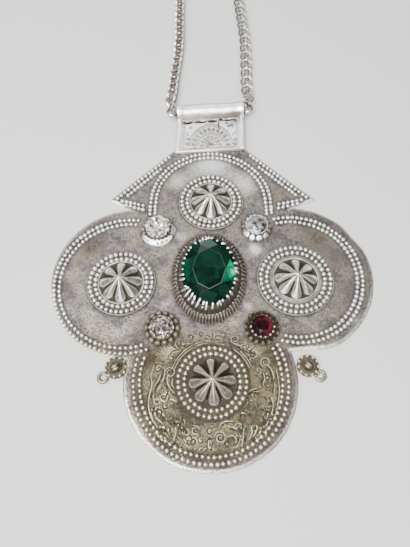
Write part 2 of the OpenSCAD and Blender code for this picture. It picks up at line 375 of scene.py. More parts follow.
    @staticmethod
    def slab(name: str, outline: Sequence[Point], low: float, high: float, edge: float) -> Piece:
        """Cuts a flat shape, gives it a thickness and rounds its edges.

        Args:
            name: the piece's name.
            outline: the corners, in millimetres.
            low: height of its underside.
            high: height of its upper side.
            edge: width of the rounded edge.

        Returns:
            The closed piece.
        """
        piece = Bench.wire(name, [Vector((x, y, low)) for x, y in outline])
        with Bench.editing(piece):
            bpy.ops.mesh.edge_face_add()
            bpy.ops.mesh.extrude_region_move()
            Bench.shift(piece, lambda p: Vector((p.x, p.y, high)))
        return Bench.soften(Bench.close(piece), edge)

    @staticmethod
    def finder(points: Sequence[Vector]) -> KDTree:
        """Makes a finder of the nearest of some points.

        Args:
            points: the points, in millimetres.

        Returns:
            The finder, which counts the points from 0.
        """
        tree = KDTree(len(points))
        for i, point in enumerate(points):
            tree.insert(point, i)
        tree.balance()
        return tree

    @staticmethod
    def wires(
        name: str, strokes: Sequence[Sequence[tuple[Vector, float]]], radius: float, rounding: int
    ) -> Piece:
        """Lays round wires along strokes.

        Args:
            name: the piece's name.
            strokes: points of each wire in metres, with their share of the radius.
            radius: the wires' radius in millimetres.
            rounding: how many steps round off a quarter of a wire.

        Returns:
            The wires as one mesh.
        """
        curve = bpy.data.curves.new(name, "CURVE")
        curve.dimensions = "3D"
        curve.bevel_depth = radius * MM
        curve.bevel_resolution = rounding
        curve.use_fill_caps = True
        for stroke in strokes:
            spline = curve.splines.new("POLY")
            spline.points.add(len(stroke) - 1)
            for dot, (at, share) in zip(spline.points, stroke):
                dot.co = (*at, 1)
                dot.radius = share
        piece = bpy.data.objects.new(name, curve)
        bpy.context.scene.collection.objects.link(piece)
        Bench.take(piece)
        bpy.ops.object.convert(target="MESH")
        return bpy.context.object


def bell(distance: float, width: float) -> float:
    """Returns a bell curve's height: 1 in the middle, and about a third a width away."""
    return math.exp(-((distance / width) ** 2))


def ramp(value: float, low: float, high: float) -> float:
    """Returns 0 below low, 1 above high and a smooth rise between."""
    t = min(1.0, max(0.0, (value - low) / (high - low)))
    return t * t * (3 - 2 * t)


def polar(centre: Point, radius: float, degrees: float, z: float = 0.0) -> Vector:
    """Returns the point of a circle in a direction, counted from +X, at a height."""
    a = math.radians(degrees)
    return Vector((centre[0] + radius * math.cos(a), centre[1] + radius * math.sin(a), z))


def bearing(centre: Point, p: Vector) -> float:
    """Returns the direction of a point from a centre, in radians from +X."""
    return math.atan2(p.y - centre[1], p.x - centre[0])


class Value:
    """A shader socket that adds, multiplies and subtracts like a number."""

    def __init__(self, finish: "Mixing", socket: bpy.types.NodeSocket) -> None:
        """Wraps a socket of a finish."""
        self.finish = finish
        self.socket = socket

    def _math(self, operation: str, *values: "Value | float") -> "Value":
        """Adds a Math node and returns its result."""
        sockets = dict(enumerate(values))
        return self.finish.node("ShaderNodeMath", {"operation": operation}, sockets)

    def __add__(self, other: "Value | float") -> "Value":
        """Sum."""
        return self._math("ADD", self, other)

    def __radd__(self, other: float) -> "Value":
        """Sum with a number on the left."""
        return self._math("ADD", other, self)

    def __sub__(self, other: "Value | float") -> "Value":
        """Difference."""
        return self._math("SUBTRACT", self, other)

    def __rsub__(self, other: float) -> "Value":
        """Difference from a number on the left."""
        return self._math("SUBTRACT", other, self)

    def __mul__(self, other: "Value | float") -> "Value":
        """Product."""
        return self._math("MULTIPLY", self, other)

    def __rmul__(self, other: float) -> "Value":
        """Product with a number on the left."""
        return self._math("MULTIPLY", other, self)

    def step(self, low: float, high: float) -> "Value":
        """Rises smoothly from 0 to 1.

        Args:
            low: where the rise starts.
            high: where it ends.

        Returns:
            How far the rise has come.
        """
        sockets = {"Value": self, "From Min": low, "From Max": high}
        return self.finish.node(
            "ShaderNodeMapRange", {"interpolation_type": "SMOOTHSTEP"}, sockets
        )


class Mixing:
    """One finish on the mixing board: a material and the nodes that colour it."""

    def __init__(self, name: str) -> None:
        """Starts a material with a bare Principled shader.

        Args:
            name: the material's name.
        """
        self.material = bpy.data.materials.new(name)
        self.material.use_nodes = True
        self.tree = self.material.node_tree
        self.shader = next(n for n in self.tree.nodes if n.type == "BSDF_PRINCIPLED")
        self.place = self.node("ShaderNodeTexCoord", {}, {}, "Object")

    def node(self, kind: str, settings: dict, sockets: dict, output: int | str = 0) -> Value:
        """Adds a node.

        Args:
            kind: the node's type.
            settings: its own settings, such as a Math node's operation or a ramp's stops.
            sockets: values or links of its inputs, by name or number.
            output: the output that is wanted.

        Returns:
            The wrapped output.
        """
        made = self.tree.nodes.new(kind)
        for key, value in settings.items():
            if key == "stops":
                for stop, (at, colour) in zip(made.color_ramp.elements, value):
                    stop.position, stop.color = at, (*colour, 1)
            else:
                setattr(made, key, value)
        for key, value in sockets.items():
            self.join(made.inputs[key], value)
        return Value(self, made.outputs[output])

    def join(self, socket: bpy.types.NodeSocket, value: object) -> None:
        """Links a value to a socket, or sets a constant on it.

        Args:
            socket: the input.
            value: a wrapped output, a number or a colour.
        """
        if isinstance(value, Value):
            self.tree.links.new(value.socket, socket)
        elif isinstance(value, tuple) and socket.type == "RGBA":
            socket.default_value = (*value, 1)
        else:
            socket.default_value = value

    def noise(self, size: float, detail: float = 3, rough: float = 0.55, twist: float = 0) -> Value:
        """Adds a noise.

        Args:
            size: its features' size in millimetres.
            detail: how many finer layers it has.
            rough: how strong they are.
            twist: how far it is distorted.

        Returns:
            The noise, from 0 to 1.
        """
        sockets = {"Vector": self.place, "Scale": 1 / (size * MM), "Detail": detail,
                   "Roughness": rough, "Distortion": twist}
        return self.node("ShaderNodeTexNoise", {}, sockets)

    def painted(self, name: str) -> Value:
        """Returns a number that is stored on the piece."""
        return self.node("ShaderNodeAttribute", {"attribute_name": name}, {}, "Fac")

    def blend(self, share: Value | float, under: Value | Colour, over: Value | Colour) -> Value:
        """Returns one colour laid over another by a share."""
        sockets = {0: share, 6: under, 7: over}
        return self.node("ShaderNodeMix", {"data_type": "RGBA"}, sockets, 2)

    def stain(self, share: Value | float, under: Value, glaze: Colour) -> Value:
        """Returns a colour multiplied by a glaze."""
        settings = {"data_type": "RGBA", "blend_type": "MULTIPLY"}
        return self.node("ShaderNodeMix", settings, {0: share, 6: under, 7: glaze}, 2)

    def relief(self, height: Value, depth: float, strength: float = 1.0) -> Value:
        """Returns a normal from a height whose full range is a depth in millimetres."""
        sockets = {"Height": height, "Distance": depth * MM, "Strength": strength}
        return self.node("ShaderNodeBump", {}, sockets, "Normal")

    def apply(self, **sockets: object) -> Finish:
        """Feeds the shader.

        Args:
            sockets: values by the shader's socket name, with spaces as underscores.

        Returns:
            The material.
        """
        for key, value in sockets.items():
            self.join(self.shader.inputs[key.replace("_", " ")], value)
        return self.material

    def nearness(self, spot: tuple[float, float, float], reach: float) -> Value:
        """Measures how near the surface is to a spot.

        Args:
            spot: the spot, in millimetres.
            reach: where nothing is left of it, in millimetres.

        Returns:
            1 at the spot and 0 beyond its reach.
        """
        sockets = {0: self.place, 1: Vector(spot) * MM}
        gap = self.node("ShaderNodeVectorMath", {"operation": "DISTANCE"}, sockets, "Value")
        return (1 - gap * (1 / (reach * MM))).step(0, 1)

    def flakes(self, size: float) -> Value:
        """Splits the surface into flakes.

        Args:
            size: the flakes' size in millimetres.

        Returns:
            A number that differs from flake to flake.
        """
        sockets = {"Vector": self.place, "Scale": 1 / (size * MM)}
        cells = self.node("ShaderNodeTexVoronoi", {}, sockets, "Color")
        return self.node("ShaderNodeSeparateColor", {}, {"Color": cells}, 0)


@dataclass(frozen=True)
class SheetSilver:
    """Old sheet silver: grained, pitted and stained, with painted shade and tarnish beside the
    beads and a painted highlight along the rim.
    """

    light: Colour = (0.37, 0.336, 0.352)
    warm: Colour = (0.335, 0.306, 0.25)
    dull: Colour = (0.115, 0.10, 0.095)
    soot_and_shade: Colour = (0.026, 0.023, 0.020)
    brown: Colour = (0.055, 0.038, 0.025)
    bright: Colour = (0.95, 0.94, 0.94)
    straw: Colour = (0.45, 0.415, 0.285)
    cloud: float = 5.0
    grain: float = 0.85
    grit: float = 0.42
    pitting: float = 0.16

    def mix(self) -> Finish:
        """Mixes the finish, which reads the marks of painted shade and tarnish round the beads, of
        stains, of the yellow cast and of the painted rim highlight and paler patches.

        Returns:
            The material.
        """
        m = Mixing("plate_silver")
        groove, spot = m.painted("groove"), m.painted("spot")
        straw, polish = m.painted("straw"), m.painted("polish")
        fine = m.noise(self.grain, 4, 0.65)
        grit = m.noise(self.grit, 2, 0.6)
        broad = m.noise(self.cloud, 4, 0.6)
        tint = m.noise(self.cloud, 2, 0.5).step(0.42, 0.60)
        pits = grit.step(0.53, 0.65)
        tone = (broad * 0.55 + fine * 0.45 + (grit - 0.5) * 0.45).step(0.38, 0.60)
        blotch = (fine * 0.9 + broad * 0.6 + grit * 0.4 - 0.35).step(0.35, 0.72)
        metal = m.blend(tone, self.dull, m.blend(tint, self.light, self.warm))
        # painted highlight along the rim, and the paler patches, blended towards the bright colour
        metal = m.blend((polish * (0.5 + fine)).step(0.2, 0.95), metal, self.bright)
        metal = m.stain(straw, metal, self.straw)
        metal = m.blend(spot * blotch, metal, self.brown)
        metal = m.blend(pits * (0.85 - 0.6 * polish), metal, self.soot_and_shade)
        # painted shade and tarnish round the beads and at the feet of bosses and cups
        metal = m.blend(groove * (0.55 + 0.6 * fine), metal, self.soot_and_shade)
        return m.apply(
            Base_Color=metal,
            Metallic=1 - 0.45 * spot - 0.35 * groove,
            Roughness=0.36 + 0.20 * (1 - tone) - 0.14 * polish + 0.12 * spot + 0.1 * groove,
            Normal=m.relief(fine * 0.5 + grit * 0.5 - pits * 0.5, self.pitting),
            Specular_IOR_Level=METAL_SHINE,
        )


@dataclass(frozen=True)
class WorkedSilver:
    """Silver with worn bright tops and dark hollows, told apart by a mark that paints both shade
    and tarnish.
    """

    name: str
    bright: Colour = (0.90, 0.89, 0.87)
    dull: Colour = (0.45, 0.42, 0.40)
    soot_and_shade: Colour = (0.045, 0.042, 0.038)
    straw: Colour = (0.72, 0.67, 0.50)
    roughness: float = 0.26
    mottle: float = 2.2
    grain: float = 0.35
    dents: float = 0.03
    tarnish: float = 0.5

    def mix(self) -> Finish:
        """Mixes the finish, which reads the marks of painted shade and tarnish, and of the yellow
        cast.

        Returns:
            The material.
        """
        m = Mixing(self.name)
        hollow, straw = m.painted("hollow"), m.painted("straw")
        broad = m.noise(self.mottle, 4, 0.6, 0.4)
        fine = m.noise(self.grain, 3, 0.6)
        worn = (broad + 0.35 * fine - 0.17).step(0.38, 0.66)
        metal = m.blend(self.tarnish * (1 - worn), self.bright, self.dull)
        metal = m.stain(straw, metal, self.straw)
        # painted shade and tarnish, blended towards the dark colour
        shade = (hollow + 0.3 * (fine - 0.5)).step(0.15, 0.85)
        return m.apply(
            Base_Color=m.blend(shade, metal, self.soot_and_shade),
            Metallic=1 - 0.5 * shade,
            Roughness=self.roughness + 0.14 * (1 - worn) + 0.25 * shade,
            Normal=m.relief(fine * 0.5 + broad * 0.5, self.dents, 0.5),
            Specular_IOR_Level=METAL_SHINE,
        )


@dataclass(frozen=True)
class CutGlass:
    """Dark glass stone: a body colour that shifts by facet as painted inner reflection, a painted
    flash and a painted glow.
    """

    name: str
    deep: Colour
    body: Colour
    flash: Colour
    glow: float = 0.0
    grain: float = 2.6
    shine: float = 0.12
    core: tuple[float, float, float, float] = (0, 0, 0, 0)
    core_light: Colour = (0.30, 1.0, 0.62)
    scuff_and_reflection_grey: Colour = (0.20, 0.26, 0.24)

    def mix(self) -> Finish:
        """Mixes the finish, which reads the mark of the painted flash and the mark of the pale
        table edge and grey-looking facets.

        Returns:
            The material.
        """
        m = Mixing(self.name)
        flash, worn = m.painted("flash"), m.painted("worn")
        cloud = m.noise(self.grain, 3, 0.6, 0.8)
        depth = (m.flakes(self.grain) * 0.35 + cloud * 0.65).step(0.25, 0.85)
        spark = flash * m.noise(self.grain * 0.4, 2, 0.5).step(0.42, 0.62)
        glass = m.blend(depth, self.deep, self.body)
        glass = m.blend(flash * (0.35 + 0.4 * depth), glass, self.flash)
        glass = m.blend(worn, glass, self.scuff_and_reflection_grey)
        # painted glow: the flash shines by emission
        lit = m.blend(flash * 0.25 + spark, (0.0, 0.0, 0.0), self.flash)
        # a painted bright core, shining by emission, where the core is set
        *spot, reach = self.core
        if reach:
            near = m.nearness(spot, reach)
            lit = m.blend(near * near, lit, self.core_light)
            glass = m.blend(near.step(0.0, 0.7) * (0.3 + 0.7 * depth), glass, self.flash)
        return m.apply(
            Base_Color=glass, Emission_Color=lit, Roughness=0.1 + 0.3 * worn, IOR=1.5,
            Specular_IOR_Level=self.shine, Emission_Strength=self.glow,
        )


@dataclass(frozen=True)
class Foil:
    """Clear stone over crumpled foil: broken pale and dark flakes."""

    name: str
    pale: Colour = (0.86, 0.85, 0.84)
    dark: Colour = (0.13, 0.13, 0.135)
    flake: float = 0.8

    def mix(self) -> Finish:
        """Mixes the finish.

        Returns:
            The material.
        """
        m = Mixing(self.name)
        cell = m.flakes(self.flake)
        vein = m.noise(self.flake * 1.4, 4, 0.7, 1.5)
        tone = (cell * 0.55 + vein * 0.7 - 0.1).step(0.25, 0.75)
        return m.apply(
            Base_Color=m.blend(tone, self.dark, self.pale), Metallic=0.75,
            Roughness=0.16 + 0.2 * vein, Coat_Weight=0.6, Normal=m.relief(cell, 0.09, 0.7),
        )


@dataclass(frozen=True)
class DarkLine:
    """Black compound in the engraved lines, also used as the painted shadow along the bail's seam.
    """

    name: str
    colour: Colour = (0.020, 0.017, 0.010)
    paler: Colour = (0.075, 0.067, 0.042)

    def mix(self) -> Finish:
        """Mixes the finish.

        Returns:
            The material.
        """
        m = Mixing(self.name)
        worn = m.noise(0.8, 3).step(0.42, 0.68)
        return m.apply(
            Base_Color=m.blend(worn, self.colour, self.paler), Metallic=0.2 * worn,
            Roughness=0.6, Specular_IOR_Level=0.08,
        )


@dataclass(frozen=True)
class PaleBoard:
    """Plain pale table top."""

    colour: Colour = (0.52, 0.52, 0.515)

    def mix(self) -> Finish:
        """Mixes the finish.

        Returns:
            The material.
        """
        m = Mixing("pale_board")
        dimmer = tuple(c * 0.97 for c in self.colour)
        return m.apply(Base_Color=m.blend(m.noise(60, 2), self.colour, dimmer), Roughness=0.75)


def dress(piece: Piece, finish: Finish, slot: str, *nodes: str) -> Piece:
    """Gives a finished piece its material and its body, and hides the nodes it stands for.

    Args:
        piece: the finished piece.
        finish: its material.
        slot: the record's material slot; it is not used.
        nodes: the CAD nodes that it replaces.

    Returns:
        The same piece.
    """
    piece.data.materials.clear()
    piece.data.materials.append(finish)
    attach(piece, "root")
    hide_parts(*nodes)
    log.info("%s: %d faces", piece.name, len(piece.data.polygons))
    return piece


@dataclass(frozen=True)
class Grain:
    """A round bead of silver that stands on a surface."""

    wide: float
    high: float
    foot: float = 0.1

    def model(self) -> Piece:
        """Makes one bead: half a sphere with a short straight foot.

        Returns:
            The bead, at the origin.
        """
        Bench.clear()
        radius = self.wide / 2
        bpy.ops.mesh.primitive_ico_sphere_add(subdivisions=2, radius=radius * MM)
        bead = bpy.context.object
        with Bench.editing(bead):
            bpy.ops.mesh.bisect(
                plane_co=(0, 0, -0.02 * MM), plane_no=(0, 0, 1), use_fill=True, clear_inner=True
            )
        lift = self.high / radius
        Bench.shape(bead, lambda p: Vector((p.x, p.y, p.z * lift if p.z > 0 else -self.foot)))
        return Bench.smooth(bead, 60)

    def strew(self, name: str, spots: Sequence[Vector], seed: int, play: float = 0.05) -> Piece:
        """Sets beads on spots, each a little different in size and place.

        Args:
            name: the joined piece's name.
            spots: feet of the beads, in millimetres.
            seed: seed of the small differences.
            play: how far a bead strays, in millimetres.

        Returns:
            The joined beads, with painted shade and tarnish round their feet.
        """
        chance = random.Random(seed)
        places = []
        for spot in spots:
            size = chance.uniform(0.88, 1.06)
            stray = Vector((chance.uniform(-play, play), chance.uniform(-play, play), 0))
            tall = size * chance.uniform(0.8, 1.05)
            places.append(Matrix.Translation(spot + stray) @ Matrix.Diagonal((size, size, tall, 1)))
        beads = Bench.repeat(self.model(), places, name)
        near = Bench.finder(spots)
        low, high = 0.08 * self.high, 0.5 * self.high
        # painted shade and tarnish at each bead's foot, bright above
        Bench.paint(
            beads, "hollow", lambda p: 0.95 * (1 - ramp(p.z - near.find(p)[0].z, low, high))
        )
        Bench.paint(beads, "straw", lambda p: 0.9 * ramp(-p.y, 12, 24))
        return beads


@dataclass
class Beading:
    """Rows of border beads in pairs along the lobes, the arch and the gable."""

    pitch: float = 1.36
    bead: Grain = Grain(1.22, 0.70)
    clearance: float = 0.675
    cups: tuple[tuple[Point, float], ...] = (
        (UPPER_LEFT, 5.0), (UPPER_RIGHT, 4.6), (LOWER_LEFT, 4.9), (LOWER_RIGHT, 4.8),
    )

    def arc(self, centre: Point, radius: float, start: float, end: float) -> list[Vector]:
        """Spaces spots evenly along an arc.

        Args:
            centre: the arc's centre.
            radius: its radius.
            start: direction of its first spot, in degrees.
            end: direction of its last spot.

        Returns:
            The spots.
        """
        count = round(abs(end - start) * math.pi * radius / 180 / self.pitch)
        turns = [start + (end - start) * i / count for i in range(count + 1)]
        return [polar(centre, radius, turn, FACE) for turn in turns]

    def line(self, start: Point, end: Point) -> list[Vector]:
        """Spaces spots evenly along a line.

        Args:
            start: the first spot.
            end: the last spot.

        Returns:
            The spots.
        """
        a, b = Vector((*start, FACE)), Vector((*end, FACE))
        count = max(1, round((b - a).length / self.pitch))
        return [a.lerp(b, i / count) for i in range(count + 1)]

    def clear_of(self, spots: list[Vector], others: list[Vector]) -> list[Vector]:
        """Leaves out the spots that crowd others."""
        reach = self.pitch * 0.93
        return [p for p in spots if min((p - q).length for q in others) > reach]

    def spots(self) -> list[Vector]:
        """Finds every bead's spot, clear of the cups.

        Returns:
            The spots.
        """
        sides = (
            self.arc((-22.4, -1.7), 19.6, 76, 289) + self.arc((-22.4, -1.7), 18.1, 77, 286)
            + self.arc((23.3, 0.2), 18.6, -104, 104) + self.arc((23.3, 0.2), 17.1, -102, 103)
        )
        bottom = self.arc((0.4, -28), 19.3, 152, 388) + self.arc((0.4, -28), 17.75, 153, 387)
        arch = (
            self.arc((0.6, 23.95), 17.6, 0, 180) + self.arc((0.6, 23.95), 16.1, 0, 180)
            + self.line((-17.1, 22.5), (-17.1, 20)) + self.line((-15.6, 22.5), (-15.6, 19))
            + self.line((18.3, 22.5), (18.3, 20.4)) + self.line((16.8, 22.5), (16.8, 20))
        )
        gable = (
            self.line((-26.9, 25.4), (-12.2, 40.2)) + self.line((-23.9, 26.3), (-14.6, 35.8))
            + self.line((28.8, 25.8), (12.9, 40.9)) + self.line((25.8, 26.6), (15.4, 36.5))
            + self.line((-25.4, 24.4), (-19.3, 22.9)) + self.line((-24.2, 23), (-19.2, 21.4))
            + self.line((27.3, 24.8), (20.6, 23.4)) + self.line((26, 23.4), (20.4, 22))
        )
        rows = (sides + self.clear_of(bottom, sides) + self.clear_of(arch, sides)
                + self.clear_of(gable, arch + sides))
        cups = [(Vector(centre), radius + self.clearance) for centre, radius in self.cups]
        return [p for p in rows if all((p.xy - cup).length > reach for cup, reach in cups)]

    def build(self, finish: Finish) -> list[Vector]:
        """Sets the beads.

        Args:
            finish: the beads' material.

        Returns:
            The spots, round which the sheet gets painted shade and tarnish.
        """
        spots = self.spots()
        beads = self.bead.strew("border_beads", spots, 11)
        dress(beads, finish, "plate_silver", "plate")
        return spots


@dataclass
class Sheet:
    """The cut plate: three lobes and a gable, with a worn, slightly turned rim."""

    thick: float = FACE
    grid: float = 1.0
    rim: tuple[float, ...] = (0.22, 0.35, 0.6)
    wave: float = 0.05
    spots: tuple[tuple[float, float, float, float], ...] = (
        (-33.4, 9.0, 3.2, 1.0), (-30.6, 11.6, 2.2, 0.8), (-36.0, 4.5, 2.0, 0.55),
        (31.0, 11.5, 4.2, 0.9), (35.6, 6.0, 3.2, 0.85), (37.4, -3.0, 3.0, 0.75),
        (28.0, 15.4, 2.6, 0.5), (-37.2, -6.0, 1.8, 0.5), (-12.6, 4.5, 1.8, 0.45),
        (11.5, 4.0, 2.0, 0.35), (-19.5, 25.0, 2.2, 0.4), (20.5, 27.0, 2.2, 0.4),
        (2.4, -46.6, 1.8, 0.9), (-17.8, -33.0, 1.6, 0.5), (-11.0, 27.5, 2.0, 0.45),
        (-12.4, -34.0, 3.0, 0.3), (-6.5, -39.5, 2.6, 0.3), (11.4, -36.0, 3.2, 0.3),
        (6.0, -40.5, 2.6, 0.3),
        (-26.0, 30.0, 1.5, 0.4), (21.0, 9.0, 1.8, 0.35), (35.0, -9.0, 2.0, 0.4),
    )
    pale: tuple[tuple[float, float, float, float], ...] = (
        (0.6, 37.5, 7.0, 0.75), (10.5, 30.0, 5.0, 0.65), (-9.5, 31.0, 4.5, 0.5),
        (-23.0, -16.0, 3.4, 0.4), (-12.0, -8.0, 2.5, 0.4), (26.0, -15.5, 3.0, 0.25),
        (13.0, 8.5, 2.5, 0.8), (-8.0, 12.5, 2.4, 0.55), (10.5, -8.5, 2.0, 0.5),
        (-10.6, -20.4, 2.4, 0.6), (11.5, -20.5, 2.6, 0.6), (38.5, -12.0, 2.5, 0.5),
    )
    feet: tuple[tuple[Point, float], ...] = (
        (TOP, 9.35), (LEFT, 9.35), (RIGHT, 10.4), (BOTTOM, 9.35),
        (UPPER_LEFT, 4.7), (UPPER_RIGHT, 4.3), (LOWER_LEFT, 4.6), (LOWER_RIGHT, 4.5),
    )

    def blank(self) -> Piece:
        """Cuts the outline from the back of the CAD plate.

        Returns:
            The outline as one face that looks up.
        """
        piece = Bench.copy(frame["nodes"]["plate"])
        piece.name = piece.data.name = "plate_sheet"
        with Bench.editing(piece, Part.FACES):
            bpy.ops.mesh.remove_doubles(threshold=0.001 * MM)
            low = 0.01 * MM
            Bench.pick(piece, Part.FACES, lambda f: any(v.co.z > low for v in f.verts))
            bpy.ops.mesh.delete(type="FACE")
            bpy.ops.mesh.select_all(action="SELECT")
            bpy.ops.mesh.dissolve_limited(angle_limit=math.radians(0.5))
        for layer in [a.name for a in piece.data.attributes if not a.is_required]:
            if layer in piece.data.attributes and not layer.startswith("."):
                piece.data.attributes.remove(piece.data.attributes[layer])
        Bench.shape(piece, lambda p: Vector((p.x, p.y, self.thick)))
        if piece.data.polygons[0].normal.z < 0:
            with Bench.editing(piece):
                bpy.ops.mesh.flip_normals()
        return piece

    def edge_tree(self, piece: Piece) -> tuple[KDTree, list[Vector]]:
        """Lays closely spaced points along the outline.

        Args:
            piece: the outline as one face.

        Returns:
            The finder of the points, and which way is out at each.
        """
        corners = [piece.data.vertices[i].co / MM for i in piece.data.polygons[0].vertices]
        dots, out = [], []
        for a, b in zip(corners, corners[1:] + corners[:1]):
            count = max(1, round((b - a).length / 0.15))
            dots += [a.lerp(b, i / count) for i in range(count)]
            out += [Vector((b.y - a.y, a.x - b.x)).normalized()] * count
        return Bench.finder([Vector((*dot.xy, 0)) for dot in dots]), out

    def cut(self, piece: Piece) -> None:
        """Insets the rim and divides the sheet into a fine net.

        Args:
            piece: the outline as one face.
        """
        with Bench.editing(piece, Part.FACES):
            for width in self.rim:
                bpy.ops.mesh.inset(thickness=width * MM, use_even_offset=True)
            for axis, low, high in ((0, -44, 46), (1, -50, 47)):
                normal = tuple(float(i == axis) for i in range(3))
                for i in range(int((high - low) / self.grid)):
                    at = (low + (i + 0.37) * self.grid) * MM
                    bpy.ops.mesh.select_all(action="SELECT")
                    bpy.ops.mesh.bisect(plane_co=tuple(at * n for n in normal), plane_no=normal)
            bpy.ops.mesh.select_all(action="SELECT")
            bpy.ops.mesh.subdivide(number_cuts=1)

    def rim_height(self, p: Vector, away: Vector, distance: float) -> float:
        """Rounds the rim, turns it down where it faces the viewer and waves the sheet.

        Args:
            p: the vertex.
            away: the way out over the nearest rim.
            distance: how far that rim is.

        Returns:
            The vertex's height.
        """
        facing = ramp(-away.y, 0.05, 0.8)
        right = ramp(away.x, -0.2, 0.7) * 0.35
        drop = 0.24 * math.exp(-distance / 0.25) + 0.42 * (facing + right) * bell(distance, 1.3)
        ripple = math.sin(p.x * 0.31 + 1) * math.cos(p.y * 0.27)
        ripple += 0.6 * math.sin(p.x * 0.7 - p.y * 0.55) + 0.35 * math.sin(p.x * 1.3 + p.y * 1.6)
        return self.thick - drop + self.wave * ripple * ramp(distance, 0.5, 4)

    def build(self, finish: Finish, beads: Sequence[Vector]) -> None:
        """Cuts, shapes, marks and dresses the sheet.

        Args:
            finish: the sheet's material.
            beads: spots of the border beads, round which the sheet gets painted shade and tarnish.
        """
        piece = self.blank()
        edge, out = self.edge_tree(piece)
        self.cut(piece)
        near = Bench.finder([Vector((*bead.xy, 0)) for bead in beads])

        def rim_of(p: Vector) -> tuple[Vector, float]:
            """Returns the way out over the nearest rim, and its distance."""
            _, index, distance = edge.find((p.x, p.y, 0))
            return out[index], distance

        Bench.shape(piece, lambda p: Vector((p.x, p.y, self.rim_height(p, *rim_of(p)))))
        self.wall(piece)
        for name, rule in self.marks(near, rim_of).items():
            Bench.paint(piece, name, rule)
        Bench.smooth(piece, 50)
        dress(piece, finish, "plate_silver", "plate")

    def wall(self, piece: Piece) -> None:
        """Extrudes the rim down to the table and closes the back.

        Args:
            piece: the shaped face of the sheet.
        """
        with Bench.editing(piece, Part.EDGES):
            Bench.pick(piece, Part.EDGES, lambda e: e.is_boundary)
            for z, draw in ((0.3, 1), (0.0, 0.997)):
                bpy.ops.mesh.extrude_edges_move()
                Bench.shift(piece, lambda p, z=z, k=draw: Vector((p.x * k, p.y * k, z)))
            bpy.ops.mesh.edge_face_add()
            bpy.ops.mesh.select_all(action="SELECT")
            bpy.ops.mesh.normals_make_consistent(inside=False)

    def marks(self, near: KDTree, rim_of: Callable) -> dict[str, Callable[[Vector], float]]:
        """Sets the rules for the marks that the finish reads.

        Args:
            near: the border beads.
            rim_of: direction to the rim and distance from it.

        Returns:
            Each mark's name and rule.
        """

        def groove(p: Vector) -> float:
            """Finds the painted shade and tarnish between and beside the beads, and the painted
            shade on the rim's wall.

            Args:
                p: the vertex's place.

            Returns:
                The darkness, up to 1.
            """
            # painted shade on the rim's wall, which stands below the sheet's face
            if p.z < 0.6:
                return 0.15
            gap = near.find((p.x, p.y, 0))[2]
            beside = 0.95 * bell(max(gap - 0.62, 0), 0.4), 0.3 * bell(max(gap - 0.7, 0), 1.0)
            return max(*beside, self.foot_dark(p))

        def blot(rows: tuple, p: Vector) -> float:
            """Returns the sum of round blots."""
            return min(1.0, sum(a * bell(math.hypot(p.x - x, p.y - y), r) for x, y, r, a in rows))

        def polish(p: Vector) -> float:
            """Finds the painted highlight along the rim, strongest where the rim faces the viewer,
            and the paler patches.

            Args:
                p: the vertex's place.

            Returns:
                The brightness, up to 1.
            """
            away, distance = rim_of(p)
            # painted highlight along the rim, strongest where it faces the viewer
            rim = bell(max(distance - 0.35, 0), 0.6) * (0.5 + 0.5 * ramp(-away.y, -0.2, 0.7))
            return min(1.0, max(rim, blot(self.pale, p)))

        def straw(p: Vector) -> float:
            """Returns the yellow cast of the bottom lobe."""
            inside = 1 - ramp(math.hypot(p.x - 0.4, p.y + 28), 16, 20)
            return (0.4 + 0.6 * inside) * ramp(-p.y, 11, 22) + 0.1

        return {"groove": groove, "spot": lambda p: blot(self.spots, p), "polish": polish,
                "straw": straw}

    def foot_dark(self, p: Vector) -> float:
        """Paints shade and tarnish into the corner round a boss, a cup or the centre setting.

        Args:
            p: a point of the sheet.

        Returns:
            Its share of painted shade and tarnish.
        """
        dark = 0.0
        for (x, y), radius in self.feet:
            gap = math.hypot(p.x - x, p.y - y) - radius
            if gap > -1:
                dark = max(dark, 0.9 * bell(max(gap, 0), 0.5), 0.3 * bell(max(gap, 0), 1.5))
        ring = math.hypot(p.x / 10.2, p.y / 13.3)
        return max(dark, 0.8 * bell(max(ring - 1, 0) * 11, 0.6) if ring > 0.9 else 0)


